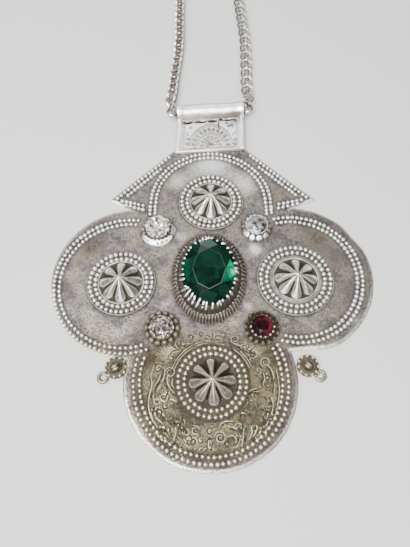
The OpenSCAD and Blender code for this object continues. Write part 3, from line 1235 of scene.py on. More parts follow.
@dataclass
class Scrollwork:
    """Engraved scrolls, leaves and rings that are filled with a black compound."""

    height: float = 1.225
    half: float = 0.2
    strokes: list[tuple[list[Vector], float]] = field(default_factory=list)

    def through(self, points: Sequence[Point], weight: float) -> None:
        """Adds a smooth stroke, which swells in its middle.

        Args:
            points: where it passes.
            weight: how heavy it is.
        """
        steps = 5
        p = [Vector((x, y)) for x, y in points]
        p = [2 * p[0] - p[1], *p, 2 * p[-1] - p[-2]]
        line = []
        for a, b, c, d in zip(p, p[1:], p[2:], p[3:]):
            for i in range(steps):
                t = i / steps
                line.append(0.5 * (2 * b + (c - a) * t + (2 * a - 5 * b + 4 * c - d) * t * t
                                   + (3 * b - a - 3 * c + d) * t ** 3))
        self.strokes.append(([*line, p[-2]], weight))

    def volute(self, x: float, y: float, r: float, start: float, hand: Hand,
               turns: float = 1.35) -> None:
        """Adds a spiral that winds inwards from its outer end.

        Args:
            x: its centre's place across.
            y: its centre's place along.
            r: its outer radius.
            start: direction of its outer end, in degrees.
            hand: the way that it winds.
            turns: how often it goes round.
        """
        count = 16
        line = [polar((x, y), r * (1 - 0.78 * i / count),
                      start + hand.value * 360 * turns * i / count).xy for i in range(count + 1)]
        self.strokes.append((line, 0.95))

    def ring(self, x: float, y: float, r: float, tall: float = 1.0) -> None:
        """Adds a small closed ring.

        Args:
            x: its centre across the sheet.
            y: its centre along the sheet.
            r: its radius.
            tall: its height as a share of its width.
        """
        turns = [math.tau * i / 12 for i in range(13)]
        line = [Vector((x + r * math.cos(a), y + r * tall * math.sin(a))) for a in turns]
        self.strokes.append((line, 0.85))

    def leaf(self, root: Point, tip: Point, bend: float, weight: float) -> None:
        """Adds a curved blade.

        Args:
            root: where it starts.
            tip: where it ends.
            bend: how far it bows to its left, as a share of its length.
            weight: how heavy it is.
        """
        a, b = Vector(root), Vector(tip)
        side = Vector((a.y - b.y, b.x - a.x)) * bend
        self.through([a, a.lerp(b, 0.35) + side * 0.8, a.lerp(b, 0.7) + side, b], weight)

    def build(self, name: str, finish: Finish, slot: str, node: str) -> None:
        """Turns the strokes into thin closed inlays that lie in the surface.

        Args:
            name: the piece's name.
            finish: its material.
            slot: the record's slot.
            node: the CAD node that carries it.
        """
        wires = []
        for line, weight in self.strokes:
            swell = [math.sin(math.pi * min(1, (i + 0.6) / (len(line) + 0.2)))
                     for i in range(len(line))]
            wires.append([((at.x * MM, at.y * MM, self.height * MM), weight * (0.35 + 0.75 * s))
                          for at, s in zip(line, swell)])
        piece = Bench.wires(name, wires, self.half, 1)
        Bench.shape(piece, lambda p: Vector((p.x, p.y, self.height + (p.z - self.height) * 0.22)))
        Bench.close(piece, 0.0005)
        Bench.smooth(piece, 60)
        dress(piece, finish, slot, node)

    def draw_lobe(self) -> None:
        """Draws the bottom lobe's two lyre-shaped panels and the sprays between them."""
        self.draw_left()
        self.draw_right()
        self.ring(0.0, -39.9, 0.6)
        self.ring(0.0, -42.8, 0.6, 2.1)
        self.ring(0.0, -41.7, 0.2)
        for i in range(7):
            x = -3.4 + i * 1.15
            self.leaf((x, -44.5 + 0.05 * abs(i - 3)), (x + 0.5, -44.0), 0.2, 0.8)

    def draw_field(self) -> None:
        """Draws the leaves under the cups and the lines round the lower boss."""
        for r, a, b in ((10.3, 98, 172), (10.9, 104, 166), (10.3, 20, 80), (10.9, 22, 74)):
            self.through([polar(BOTTOM, r, a + (b - a) * i / 6).xy[:] for i in range(7)], 0.8)
        for x, y, r, start, hand in (
            (-4.9, -16.9, 0.9, 200, Hand.LEFT), (-2.1, -15.9, 0.85, 30, Hand.RIGHT),
            (6.6, -17.5, 0.95, 330, Hand.RIGHT), (3.6, -16.2, 0.8, 150, Hand.LEFT),
            (-9.6, -22.2, 1.0, 40, Hand.LEFT), (10.9, -21.4, 1.0, 140, Hand.RIGHT),
            (-6.6, -18.6, 0.8, 90, Hand.LEFT), (8.9, -19.4, 0.8, 90, Hand.RIGHT),
        ):
            self.volute(x, y, r, start, hand)
        self.fan((-6.9, -20.2), [(185, 3.4, 40), (170, 3.6, -40), (150, 2.6, -60), (20, 3.0, 50),
                                 (40, 3.2, -40), (60, 2.4, -60)], 0.85)
        self.fan((8.6, -20.8), [(-5, 3.4, -40), (12, 3.6, 40), (32, 2.6, 60), (160, 3.0, -50),
                                (140, 3.2, 40), (120, 2.4, 60)], 0.85)
        self.fan((0.8, -18.0), [(90, 3.0, 10), (118, 2.6, 60), (62, 2.6, -60), (150, 2.4, 60),
                                (30, 2.4, -60)], 0.85)

    def curl(self, rows: Sequence[tuple[float, ...]], hand: Hand) -> None:
        """Adds volutes that wind one way, each given by its place, radius and start."""
        for x, y, r, start in rows:
            self.volute(x, y, r, start, hand)

    def glints(self) -> "Scrollwork":
        """Draws thin pale lines beside the dark ones, as painted highlights where the engraved
        edges catch the light.

        Returns:
            The pale lines.
        """
        painted_glint = Scrollwork(self.height - 0.005, self.half * 0.5)
        for line, weight in self.strokes:
            beside = []
            for a, b in zip(line, line[1:]):
                along = (b - a).normalized()
                beside.append(a + Vector((-along.y, along.x)) * (0.13 + self.half * weight))
            if len(beside) > 3:
                painted_glint.strokes.append((beside, 0.9 * min(1.0, weight)))
        return painted_glint

    def draw_left(self) -> None:
        """Draws the left panel."""
        self.curl([(-12.8, -25.0, 1.25, -10), (-10.7, -34.2, 0.85, 60), (-5.1, -41.7, 1.2, 200),
                   (-8.3, -36.8, 0.55, 90), (-2.1, -42.0, 0.9, 60)], Hand.LEFT)
        self.curl([(-9.8, -26.0, 1.1, 190), (-9.3, -34.0, 0.75, 120), (-3.4, -39.8, 0.85, 120)],
                  Hand.RIGHT)
        heavy = [
            [(-12.1, -24.8), (-11.6, -25.5), (-11.75, -26.8), (-12.3, -28.3), (-13.0, -29.6),
             (-13.3, -30.6), (-13.3, -32.3)],
            [(-10.3, -26.0), (-10.9, -27.0), (-10.9, -28.4), (-10.35, -29.7), (-9.7, -30.7),
             (-8.6, -31.6)],
            [(-13.3, -34.2), (-13.6, -35.6), (-13.4, -36.8), (-12.3, -38.0), (-11.2, -38.8)],
            [(-9.9, -32.8), (-8.3, -33.5), (-7.2, -34.5), (-6.7, -35.3)],
            [(-10.3, -37), (-9.5, -38.3), (-8.2, -39.1)],
            [(-6.6, -36.8), (-6.9, -38.3), (-7.1, -39.8)],
            [(-8.6, -43.2), (-7.9, -41.6), (-7.6, -39.9), (-7.9, -38.0)],
        ]
        fine = [
            [(-14.1, -30.5), (-14.1, -32.2), (-13.9, -33.1)],
            [(-12.4, -34.0), (-12.7, -35.6), (-12.2, -36.8), (-11.1, -37.9)],
            [(-10.0, -34.8), (-8.8, -34.9), (-7.6, -34.7)],
            [(-14.2, -24.0), (-14.9, -26.6), (-14.6, -29.0), (-15.2, -32.4), (-15.0, -35.0),
             (-14.0, -37.6), (-12.0, -39.8), (-9.6, -41.6), (-7.4, -42.9)],
            [(-12.5, -26.4), (-12.9, -27.6), (-13.9, -29.2)],
            [(-9.5, -27.4), (-9.6, -29.0), (-8.9, -30.2)],
            [(-12.4, -30.6), (-11.2, -29.2), (-10.2, -31.0), (-11.4, -32.6), (-12.4, -30.6)],
        ]
        self.lines(heavy, 1.6)
        self.lines(fine, 1.0)
        self.fan((-8.2, -42.4), [(170, 5.6, -70), (154, 5.4, -60), (138, 5.0, -50),
                                 (122, 4.4, -50)], 1.2)
        self.fan((-7.0, -42.0), [(100, 4.6, 50), (80, 4.4, 60), (60, 3.8, 70), (40, 3.2, 75)], 1.2)
        self.fan((-12.2, -37.6), [(150, 3.0, -70), (118, 3.2, -60), (92, 3.0, 60),
                                  (62, 3.0, 70)], 1.1)
        self.fan((-7.6, -38.6), [(140, 2.8, -70), (108, 3.2, -50), (74, 3.2, 50),
                                 (42, 2.8, 70)], 1.1)
        self.fan((-10.4, -33.0), [(165, 2.0, -70), (110, 2.0, -60), (60, 2.0, 60)], 1.0)
        self.fan((-4.2, -43.6), [(150, 2.2, -80), (100, 2.2, -70), (50, 2.2, 70)], 1.0)
        self.leaves([((-12.4, -35.8), (-11.0, -37.9), 2.0), ((-8.9, -37.9), (-7.9, -39.0), 2.0),
                     ((-6.8, -37.4), (-6.2, -38.8), 1.8)])
        self.ring(-11.6, -30.4, 0.28)
        self.curl([(-13.9, -35.0, 0.6, 60), (-9.9, -36.4, 0.6, 150), (-12.2, -39.6, 0.6, 250),
                   (-5.9, -38.2, 0.65, 20), (-9.4, -40.6, 0.6, 100)], Hand.LEFT)
        self.curl([(-12.9, -33.0, 0.5, 0), (-8.6, -34.6, 0.5, 60), (-5.6, -40.2, 0.55, 160),
                   (-10.7, -40.9, 0.5, 30), (-7.6, -36.0, 0.45, 300)], Hand.RIGHT)

    def draw_right(self) -> None:
        """Draws the right panel."""
        self.curl([(12.3, -25.4, 1.05, -45), (13.0, -32.3, 1.0, 120), (12.4, -35.3, 0.9, 200),
                   (9.0, -36.8, 0.8, 300), (10.5, -22.6, 0.7, 20)], Hand.LEFT)
        self.curl([(14.2, -23.4, 1.1, -80), (10.1, -33.5, 0.9, 60), (2.5, -41.4, 1.15, 160),
                   (12.8, -40.2, 0.8, 150)], Hand.RIGHT)
        self.volute(5.3, -42.1, 1.5, 30, Hand.RIGHT, 1.6)
        heavy = [
            [(14.1, -24.5), (15.0, -25.2), (15.5, -26.6), (15.6, -27.9), (15.7, -29.4),
             (15.4, -31.3)],
            [(13.1, -26.2), (13.3, -27.5), (12.9, -28.7), (13.1, -29.9)],
            [(7.9, -34), (8.4, -32.9), (9.4, -31.7), (10.5, -30.7), (12.0, -30.3)],
            [(14.6, -32.0), (15.1, -33.7), (14.7, -35.4), (14.2, -36.4)],
            [(4.7, -39.4), (5.8, -39.7), (6.6, -40.6), (7.0, -42.0)],
            [(8.0, -43.6), (8.3, -41.8), (8.9, -39.9), (8.6, -38.0)],
        ]
        fine = [
            [(10.1, -31.1), (11.2, -31.1), (12.3, -31.0)],
            [(2.6, -39.1), (3.3, -38.3), (4.4, -38.0), (5.9, -38.1)],
            [(16.4, -24.8), (16.8, -27.6), (16.9, -30.6), (16.2, -34.0), (15.0, -37.4),
             (13.0, -39.8), (10.4, -42.2)],
            [(7.6, -35.2), (7.4, -36.8), (7.9, -38.2), (7.6, -40.2)],
            [(6.4, -19.1), (8.7, -19.7), (10.6, -20.8), (12.4, -21.6)],
            [(6.6, -19.6), (8.6, -20.2), (10.3, -21.3)],
        ]
        self.lines(heavy, 1.6)
        self.lines(fine, 1.0)
        self.fan((9.2, -42.6), [(10, 5.4, 70), (26, 5.4, 60), (42, 5.0, 50), (58, 4.6, 50)], 1.2)
        self.fan((8.0, -42.0), [(80, 4.6, -50), (100, 4.4, -60), (120, 3.8, -70),
                                (142, 3.2, -75)], 1.2)
        self.fan((13.0, -37.8), [(30, 3.0, 70), (62, 3.2, 60), (88, 3.0, -60),
                                 (118, 3.0, -70)], 1.1)
        self.fan((8.8, -38.4), [(40, 2.8, 70), (72, 3.2, 50), (106, 3.2, -50),
                                (138, 2.8, -70)], 1.1)
        self.fan((11.4, -32.6), [(15, 2.0, 70), (70, 2.0, 60), (120, 2.0, -60)], 1.0)
        self.fan((4.4, -44.0), [(30, 2.2, 80), (80, 2.2, 70), (130, 2.2, -70)], 1.0)
        self.leaves([((10.0, -35.1), (10.7, -35.1), 2.4), ((13.6, -37.4), (12.6, -38.6), 2.0),
                     ((8.8, -32.6), (9.8, -31.9), 1.8)])
        self.curl([(14.7, -33.6, 0.6, 120), (11.0, -34.4, 0.55, 30), (14.7, -36.6, 0.6, 250),
                   (10.6, -39.2, 0.6, 80), (6.9, -38.9, 0.55, 200)], Hand.RIGHT)
        self.curl([(9.4, -32.6, 0.5, 60), (12.9, -38.9, 0.55, 160), (7.6, -37.4, 0.5, 30),
                   (10.9, -41.3, 0.5, 120), (8.2, -35.0, 0.45, 200)], Hand.LEFT)
        for x, y in ((14.3, -26.3), (14.4, -27.3), (14.4, -29.4)):
            self.ring(x, y, 0.4)

    def fan(self, root: Point, lines: Sequence[Mark], weight: float) -> None:
        """Adds curved lines that fan out from a root, of which the most bent end in a curl.

        Args:
            root: where the lines start.
            lines: direction in degrees, length and bend in degrees of each.
            weight: how heavy the lines are.
        """
        for start, length, bend in lines:
            at, turn = Vector(root) + Vector(polar((0, 0), 0.12 * length, start).xy), start
            dots = [at.copy()]
            for i in range(6):
                at = at + Vector(polar((0, 0), 0.14 * length, turn).xy)
                turn += bend * (0.4 + 0.3 * i) / 5
                dots.append(at.copy())
            for i in range(6 if abs(bend) >= 65 else 1):
                turn += math.copysign(46, bend)
                at = at + Vector(polar((0, 0), 0.42 + 0.06 * length - 0.05 * i, turn).xy)
                dots.append(at.copy())
            self.through(dots, 0.85 * weight)

    def lines(self, rows: Sequence[Sequence[Point]], weight: float) -> None:
        """Adds smooth strokes of one weight."""
        for points in rows:
            self.through(points, weight)

    def leaves(self, rows: Sequence[tuple[Point, Point, float]]) -> None:
        """Adds short straight blades, each given by its root, tip and weight."""
        for root, tip, weight in rows:
            self.leaf(root, tip, 0.12, weight)


@dataclass
class Boss:
    """Round disc with two rings of beads, a collar wire and an eight-ribbed dome."""

    name: str
    centre: Point
    turn: float
    wide: float = 18.7
    outer: tuple[float, int] = (8.5, 38)
    inner: tuple[float, int] = (6.95, 31)
    dome_wide: float = 11.6
    dome_high: float = 3.4
    ribs: int = 8
    seed: int = 1

    def disc(self) -> Piece:
        """Turns the disc with its raised rim and its collar.

        Returns:
            The disc, at the origin.
        """
        r = self.wide / 2
        c = self.dome_wide / 2 + 0.3
        floor = [(r - 0.42 - (r - c - 1.0) * i / 8, 0.47) for i in range(9)]
        profile = [
            (0, 0), (r - 0.12, 0), (r, 0.1), (r, 0.38), (r - 0.1, 0.52), (r - 0.25, 0.55),
            *floor, (c + 0.26, 0.5), (c + 0.2, 0.72), (c + 0.04, 0.9),
            (c - 0.14, 0.86), (c - 0.22, 0.66), (c - 0.5, 0.6), (0, 0.6),
        ]
        disc = Bench.turned(f"{self.name}_disc", profile, 96)
        Bench.paint(disc, "hollow", lambda p: self.disc_dark(math.hypot(p.x, p.y), p.z, c))
        Bench.paint(disc, "straw", lambda p: 1.0 if self.low else 0.2)
        return disc

    def disc_dark(self, r: float, z: float, collar: float) -> float:
        """Paints shade and tarnish on the disc between the beads and inside the collar, and shade
        on its rim.

        Args:
            r: distance from the middle.
            z: height on the disc.
            collar: the collar's radius.

        Returns:
            The share of painted shade and tarnish.
        """
        if z < 0.05:
            return 0.3
        floor = max(bell(r - self.outer[0], 0.75), bell(r - self.inner[0], 0.75))
        # painted shade on the disc's rim, heavier on the bottom boss, so that the rim does not
        # shine
        rim = 0.78 if self.low else 0.42
        between = (0.58 + 0.35 * floor) * (z < 0.6) * (r < self.wide / 2 - 0.15)
        return min(1.0, max(rim, between) + (0.4 if r < collar - 0.2 else 0.0))

    def valley(self, p: Vector) -> float:
        """Returns 0 on a rib's round crest and 1 in the sharp fold between two ribs."""
        turn = bearing((0, 0), p) - math.radians(self.turn)
        return 1 - abs(math.cos(self.ribs / 2 * turn))

    def dome(self) -> Piece:
        """Spins the dome and folds it into ribs.

        Returns:
            The dome, at the origin.
        """
        half = self.dome_wide / 2
        levels = 18
        profile = [(0, -0.25), (half * 0.9, -0.25)]
        for i in range(levels):
            out = 1 - i / (levels - 1)
            profile.append((half * out, self.dome_high * (1 - out ** 1.5)))
        dome = Bench.turned(f"{self.name}_dome", profile, 144)

        def fold(p: Vector) -> Vector:
            """Draws a vertex in and down where the folds are.

            Args:
                p: the vertex's place.

            Returns:
                Its new place.
            """
            if p.z < -0.1:
                return Vector((p.x * 0.85, p.y * 0.85, p.z))
            share = p.z / self.dome_high
            depth = self.valley(p) * ramp(math.hypot(p.x, p.y), 0.1, 1.4)
            pull = 1 - (0.13 + 0.05 * share) * depth
            return Vector((p.x * pull, p.y * pull, p.z - 1.15 * depth * math.sqrt(share)))

        Bench.shape(dome, fold)
        Bench.paint(dome, "hollow", self.dome_dark)
        Bench.paint(dome, "straw", lambda p: 0.6 if self.low else 0.3)
        return dome

    def dome_dark(self, p: Vector) -> float:
        """Paints shade into the folds, on the far side and at the foot, and leaves the crests
        bright as a painted highlight.

        Args:
            p: a point of the dome.

        Returns:
            Its share of painted shade and tarnish.
        """
        v = self.valley(p)
        out = math.hypot(p.x, p.y)
        # painted shade on the dome's far side
        far = ramp(p.y / max(out, 0.1), -0.5, 0.7) * ramp(out, 1.0, 3.2)
        stain = 0.12 if self.low else 0.0
        # the crest stays bright as a painted highlight, the sides and folds get painted shade; the
        # bottom boss is browner
        crest = (0.5 + stain) * ramp(v, 0.09, 0.42) + 0.5 * ramp(v, 0.5, 0.95)
        return min(1.0, (crest + (0.24 + stain) * far) * ramp(out, 0.5, 2.2)
                   + 0.5 * (1 - ramp(p.z, 0.0, 0.2)))

    def build(self, flat: Finish, domed: Finish, beaded: Finish) -> None:
        """Makes the three pieces and puts them in place.

        Args:
            flat: the disc's material.
            domed: the dome's material.
            beaded: the beads' material.
        """
        x, y = self.centre
        disc, dome = self.disc(), self.dome()
        spots = [polar(self.centre, r, 360 * i / n, SEAT + 0.46)
                 for r, n in (self.outer, self.inner) for i in range(n)]
        beads = Grain(1.26, 0.78).strew(f"{self.name}_beads", spots, self.seed, 0.045)
        for piece, lift, finish in ((disc, SEAT, flat), (dome, SEAT + 0.78, domed)):
            Bench.shape(piece, lambda p, z=lift: p + Vector((x, y, z)))
            Bench.smooth(piece, 60 if piece is dome else 42)
            dress(piece, finish, "boss_silver", self.name)
        dress(beads, beaded, "boss_silver", self.name)

    @property
    def low(self) -> bool:
        """Whether this is the boss on the olive bottom lobe."""
        return self.centre == BOTTOM


@dataclass
class CentreSetting:
    """Oval cup with a corrugated skirt, a row of grains and claws over the stone."""

    half_wide: float = 7.5
    half_long: float = 10.0
    ribs: int = 72
    claws: int = 40
    grains: int = 56

    def oval(self, out: float, z: float, flute: float = 0.0, extra: float = 0.0) -> list[Vector]:
        """Draws a ring round the stone.

        Args:
            out: its distance from the stone.
            z: its height.
            flute: the depth of its flutes.
            extra: how much further out it is at its long ends.

        Returns:
            The ring's corners.
        """
        count = self.ribs * 4
        ring = []
        for i in range(count):
            a = math.tau * i / count
            r = out + flute * (0.5 + 0.5 * math.cos(self.ribs * a))
            ring.append(self.around(a, r, z, extra))
        return ring

    def wall(self) -> Piece:
        """Makes the fluted wall, whose edge is bent over the stone and painted dark.

        Returns:
            The wall.
        """
        rings = [
            (2.5, 1.25, 0.1, 0.6), (2.5, 1.42, 0.4, 0.6), (2.2, 1.9, 0.5, 0.5),
            (1.8, 2.5, 0.5, 0.4), (1.62, 2.85, 0.25, 0.3), (1.5, 2.95, 0, 0.25),
            (1.18, 2.98, 0, 0.2), (1.0, 3.2, 0.15, 0.15), (0.8, 4.0, 0.2, 0.1),
            (0.5, 4.7, 0.15), (0.15, 5.2, 0.15), (0.0, 5.42, 0.12), (-0.2, 5.5, 0.16),
            (-0.18, 5.38, 0.12), (0.08, 5.2), (0.08, 4.2), (0.08, 1.25),
        ]
        wall = Bench.lofted("centre_setting_wall", [self.oval(*ring) for ring in rings])

        def dark(p: Vector) -> float:
            """Finds the painted shade and tarnish between the flutes, and the darker ledge.

            Args:
                p: the vertex's place.

            Returns:
                The darkness, up to 1.
            """
            # the ledge over the stone is painted dark
            if p.z >= 2.9:
                return 0.78
            a = math.atan2(p.y / self.half_long, p.x / self.half_wide)
            fold = 0.5 - 0.5 * math.cos(self.ribs * a)
            return min(1.0, 0.35 + 0.8 * fold * ramp(p.z, 1.2, 1.6))

        Bench.paint(wall, "hollow", dark)
        return Bench.smooth(wall, 50)

    def claw(self) -> Piece:
        """Bends one claw, which leans towards -X.

        Returns:
            The claw, with its foot at the origin.
        """
        Bench.clear()
        thick, tall = 0.27 * MM, 3.0 * MM
        bpy.ops.mesh.primitive_cone_add(
            vertices=8, radius1=thick, radius2=thick, depth=tall, location=(0, 0, tall / 2)
        )
        bpy.ops.object.transform_apply()
        claw = bpy.context.object
        with Bench.editing(claw, Part.FACES):
            for z in (1.1, 1.6, 2.0, 2.3, 2.55, 2.8):
                bpy.ops.mesh.select_all(action="SELECT")
                bpy.ops.mesh.bisect(plane_co=(0, 0, z * MM), plane_no=(0, 0, 1))
            Bench.pick(claw, Part.FACES, lambda f: f.calc_center_median().z > 2.99 * MM)
            bpy.ops.mesh.inset(thickness=0.12 * MM)
            Bench.shift(claw, lambda p: p + Vector((0, 0, 0.12)))

        def bend(p: Vector) -> Vector:
            """Curls the tip inwards over the stone and sideways.

            Args:
                p: the vertex's place.

            Returns:
                Its new place.
            """
            t = ramp(p.z, 1.4, 3.12)
            swell = 1 + 0.35 * bell(p.z - 2.75, 0.5)
            curl = Vector((-1.45 * t ** 1.2, 0.35 * t, -0.15 * t * t))
            return Vector((p.x * swell, p.y * swell, p.z)) + curl

        return Bench.smooth(Bench.shape(claw, bend), 60)

    def build(self, finish: Finish, beaded: Finish) -> None:
        """Makes the wall, the grains and the claws.

        Args:
            finish: the wall's material.
            beaded: the claws' material.
        """
        node = "centre_setting"
        dress(self.wall(), finish, "setting_silver", node)
        chance = random.Random(5)
        places = []
        for i in range(self.claws):
            a = math.tau * (i + 0.5) / self.claws
            long = bell(math.degrees(a) - 236, 34)
            out = math.atan2(math.sin(a) / self.half_long, math.cos(a) / self.half_wide)
            size = chance.uniform(0.84, 1.0) + 0.08 * long
            places.append(
                Matrix.Translation(self.around(a, 0.98, 3.0, 0.02))
                @ Matrix.Rotation(out + chance.uniform(-0.2, 0.2) + 0.25 * long, 4, "Z")
                @ Matrix.Rotation(chance.uniform(-0.12, 0.18), 4, "X")
                @ Matrix.Diagonal((1 + 0.5 * long, 1, size, 1))
            )
        claws = Bench.repeat(self.claw(), places, "centre_setting_claws")

        def dark(p: Vector) -> float:
            """Returns the painted shade on the claws' shanks, which leaves their tips bright, and
            less shade on the long ones at the lower left.
            """
            long = bell(math.degrees(bearing((0, 0), p)) % 360 - 240, 45)
            return 1 - 0.8 * ramp(p.z, 4.95 - 0.4 * long, 5.85 - 0.5 * long)

        Bench.paint(claws, "hollow", dark)
        dress(claws, beaded, "setting_silver", node)
        count = self.grains
        spots = [self.around(math.tau * i / count, 1.36, 2.88, 0.24) for i in range(count)]
        grains = Grain(0.72, 0.5).strew("centre_setting_grains", spots, 6, 0.04)
        dress(grains, finish, "setting_silver", node)

    def around(self, a: float, out: float, z: float, extra: float = 0.0) -> Vector:
        """Returns the point at an angle, a distance out from the stone and a height."""
        return Vector(((self.half_wide + out) * math.cos(a),
                       (self.half_long + out + extra) * math.sin(a), z))


@dataclass
class Gem:
    """Cut stone: table, stars, kites, girdle and pavilion, made from stacked rings."""

    name: str
    centre: Point
    girdle: float
    half: Point
    crown: float
    pavilion: float
    sides: int = 16
    table: float = 0.56

    def cut(self) -> Piece:
        """Cuts the stone and softly wears its table's edges.

        Returns:
            The stone, in its place.
        """
        half = self.sides // 2
        rings = [
            (1.0, -0.15, self.sides, 0.0), (1.0, 0.15, self.sides, 0.0),
            (0.8, self.crown * 0.6, half, 0.5), (self.table, self.crown, half, 0.0),
            (0.62, -self.pavilion * 0.5, half, 0.0), (0.12, -self.pavilion, half, 0.0),
        ]
        loops = []
        for scale, z, count, turn in rings:
            turns = [math.tau / count * (i + turn) for i in range(count)]
            loops.append(Bench.wire(self.name, [
                Vector((self.half[0] * scale * math.cos(a), self.half[1] * scale * math.sin(a), z))
                for a in turns]))
        stone = Bench.join(loops, self.name)
        with Bench.editing(stone):
            bpy.ops.mesh.convex_hull()
            bpy.ops.mesh.dissolve_limited(angle_limit=math.radians(1))
            top = self.crown * 0.995 * MM
            Bench.pick(stone, Part.EDGES, lambda e: all(v.co.z > top for v in e.verts))
            bpy.ops.mesh.bevel(offset=0.016 * self.half[0] * MM, segments=1)
        return Bench.shape(stone, lambda p: p + Vector((*self.centre, self.girdle)))

    def mark(self, stone: Piece, flashes: Sequence[Mark], greys: Sequence[Mark] = (),
             edge: float = 0.0) -> Piece:
        """Marks facets with a painted flash, facets with a painted grey reflection and the table
        edge, painted pale as wear and highlight.

        Args:
            stone: the cut stone.
            flashes: directions in degrees, half widths and strengths of the facets with a painted
                flash.
            greys: the same for the facets with a painted grey reflection.
            edge: how pale the table's edge is painted, as wear and highlight, most of all at its
                lower right.

        Returns:
            The same stone.
        """
        flash = stone.data.attributes.new("flash", "FLOAT", "FACE")
        worn = stone.data.attributes.new("worn", "FLOAT", "FACE")
        table = self.girdle + self.crown
        wide, long = self.half

        def share(way: float, rows: Sequence[Mark]) -> float:
            """Returns the strongest of the marks in a direction."""
            turns = [(abs((way - at + 180) % 360 - 180), width, s) for at, width, s in rows]
            return max((s * bell(turn, width) for turn, width, s in turns), default=0.0)

        for i, face in enumerate(stone.data.polygons):
            c = face.center / MM
            way = math.degrees(bearing(self.centre, c))
            out = math.hypot((c.x - self.centre[0]) / wide, (c.y - self.centre[1]) / long)
            crown = c.z > self.girdle + 0.2 and out > self.table + 0.02
            narrow = face.area / MM ** 2 < 0.02 * wide * long
            edge_facet = narrow and table - 0.25 * self.crown < c.z
            flash.data[i].value = share(way, flashes) if crown and not edge_facet else 0.0
            wear = edge * (0.3 + share(way, [(-75, 75, 0.9)]))
            # the table edge painted pale, as wear and highlight, and a painted grey reflection on
            # some crown facets
            worn.data[i].value = wear if edge_facet else share(way, greys) if crown else 0.0
        return stone


@dataclass
class CrumpledStone:
    """Clear stone whose foil backing has broken into flakes."""

    name: str
    centre: Point
    z: float
    half: float = 2.8
    high: float = 0.85
    seed: int = 1
    jag: float = 0.26

    def build(self, finish: Finish) -> None:
        """Makes the stone from a faceted ball that is flattened and crumpled.

        Args:
            finish: the stone's material.
        """
        Bench.clear()
        bpy.ops.mesh.primitive_ico_sphere_add(subdivisions=4, radius=self.half * MM)
        stone = bpy.context.object
        stone.name = stone.data.name = self.name
        chance = random.Random(self.seed)
        jolts = {}

        def crumple(p: Vector) -> Vector:
            """Flattens the ball, ruffles its edge and jolts its upper facets.

            Args:
                p: the vertex's place.

            Returns:
                Its new place.
            """
            key = tuple(round(c * 50) for c in p)
            push = jolts.setdefault(key, Vector([chance.uniform(-1, 1) for _ in range(3)]))
            a, out = math.atan2(p.y, p.x), math.hypot(p.x, p.y) / self.half
            top = ramp(p.z, -0.2, 1.0)
            ruffle = math.sin(11 * a + 1.7 * math.sin(3 * a)) * ramp(out, 0.4, 1.0)
            flat = Vector((p.x, p.y, self.high * p.z / self.half if p.z > 0 else 0.35 * p.z))
            flat += Vector((p.x, p.y, 0)).normalized() * 0.16 * ruffle if out > 0.1 else Vector()
            flat.z += 0.35 * top * ruffle + 0.3 * top * math.sin(13 * out + 2 * a)
            return flat + push * self.jag * top + Vector((*self.centre, self.z))

        Bench.shape(stone, crumple)
        dress(stone, finish, "clear_glass", self.name)


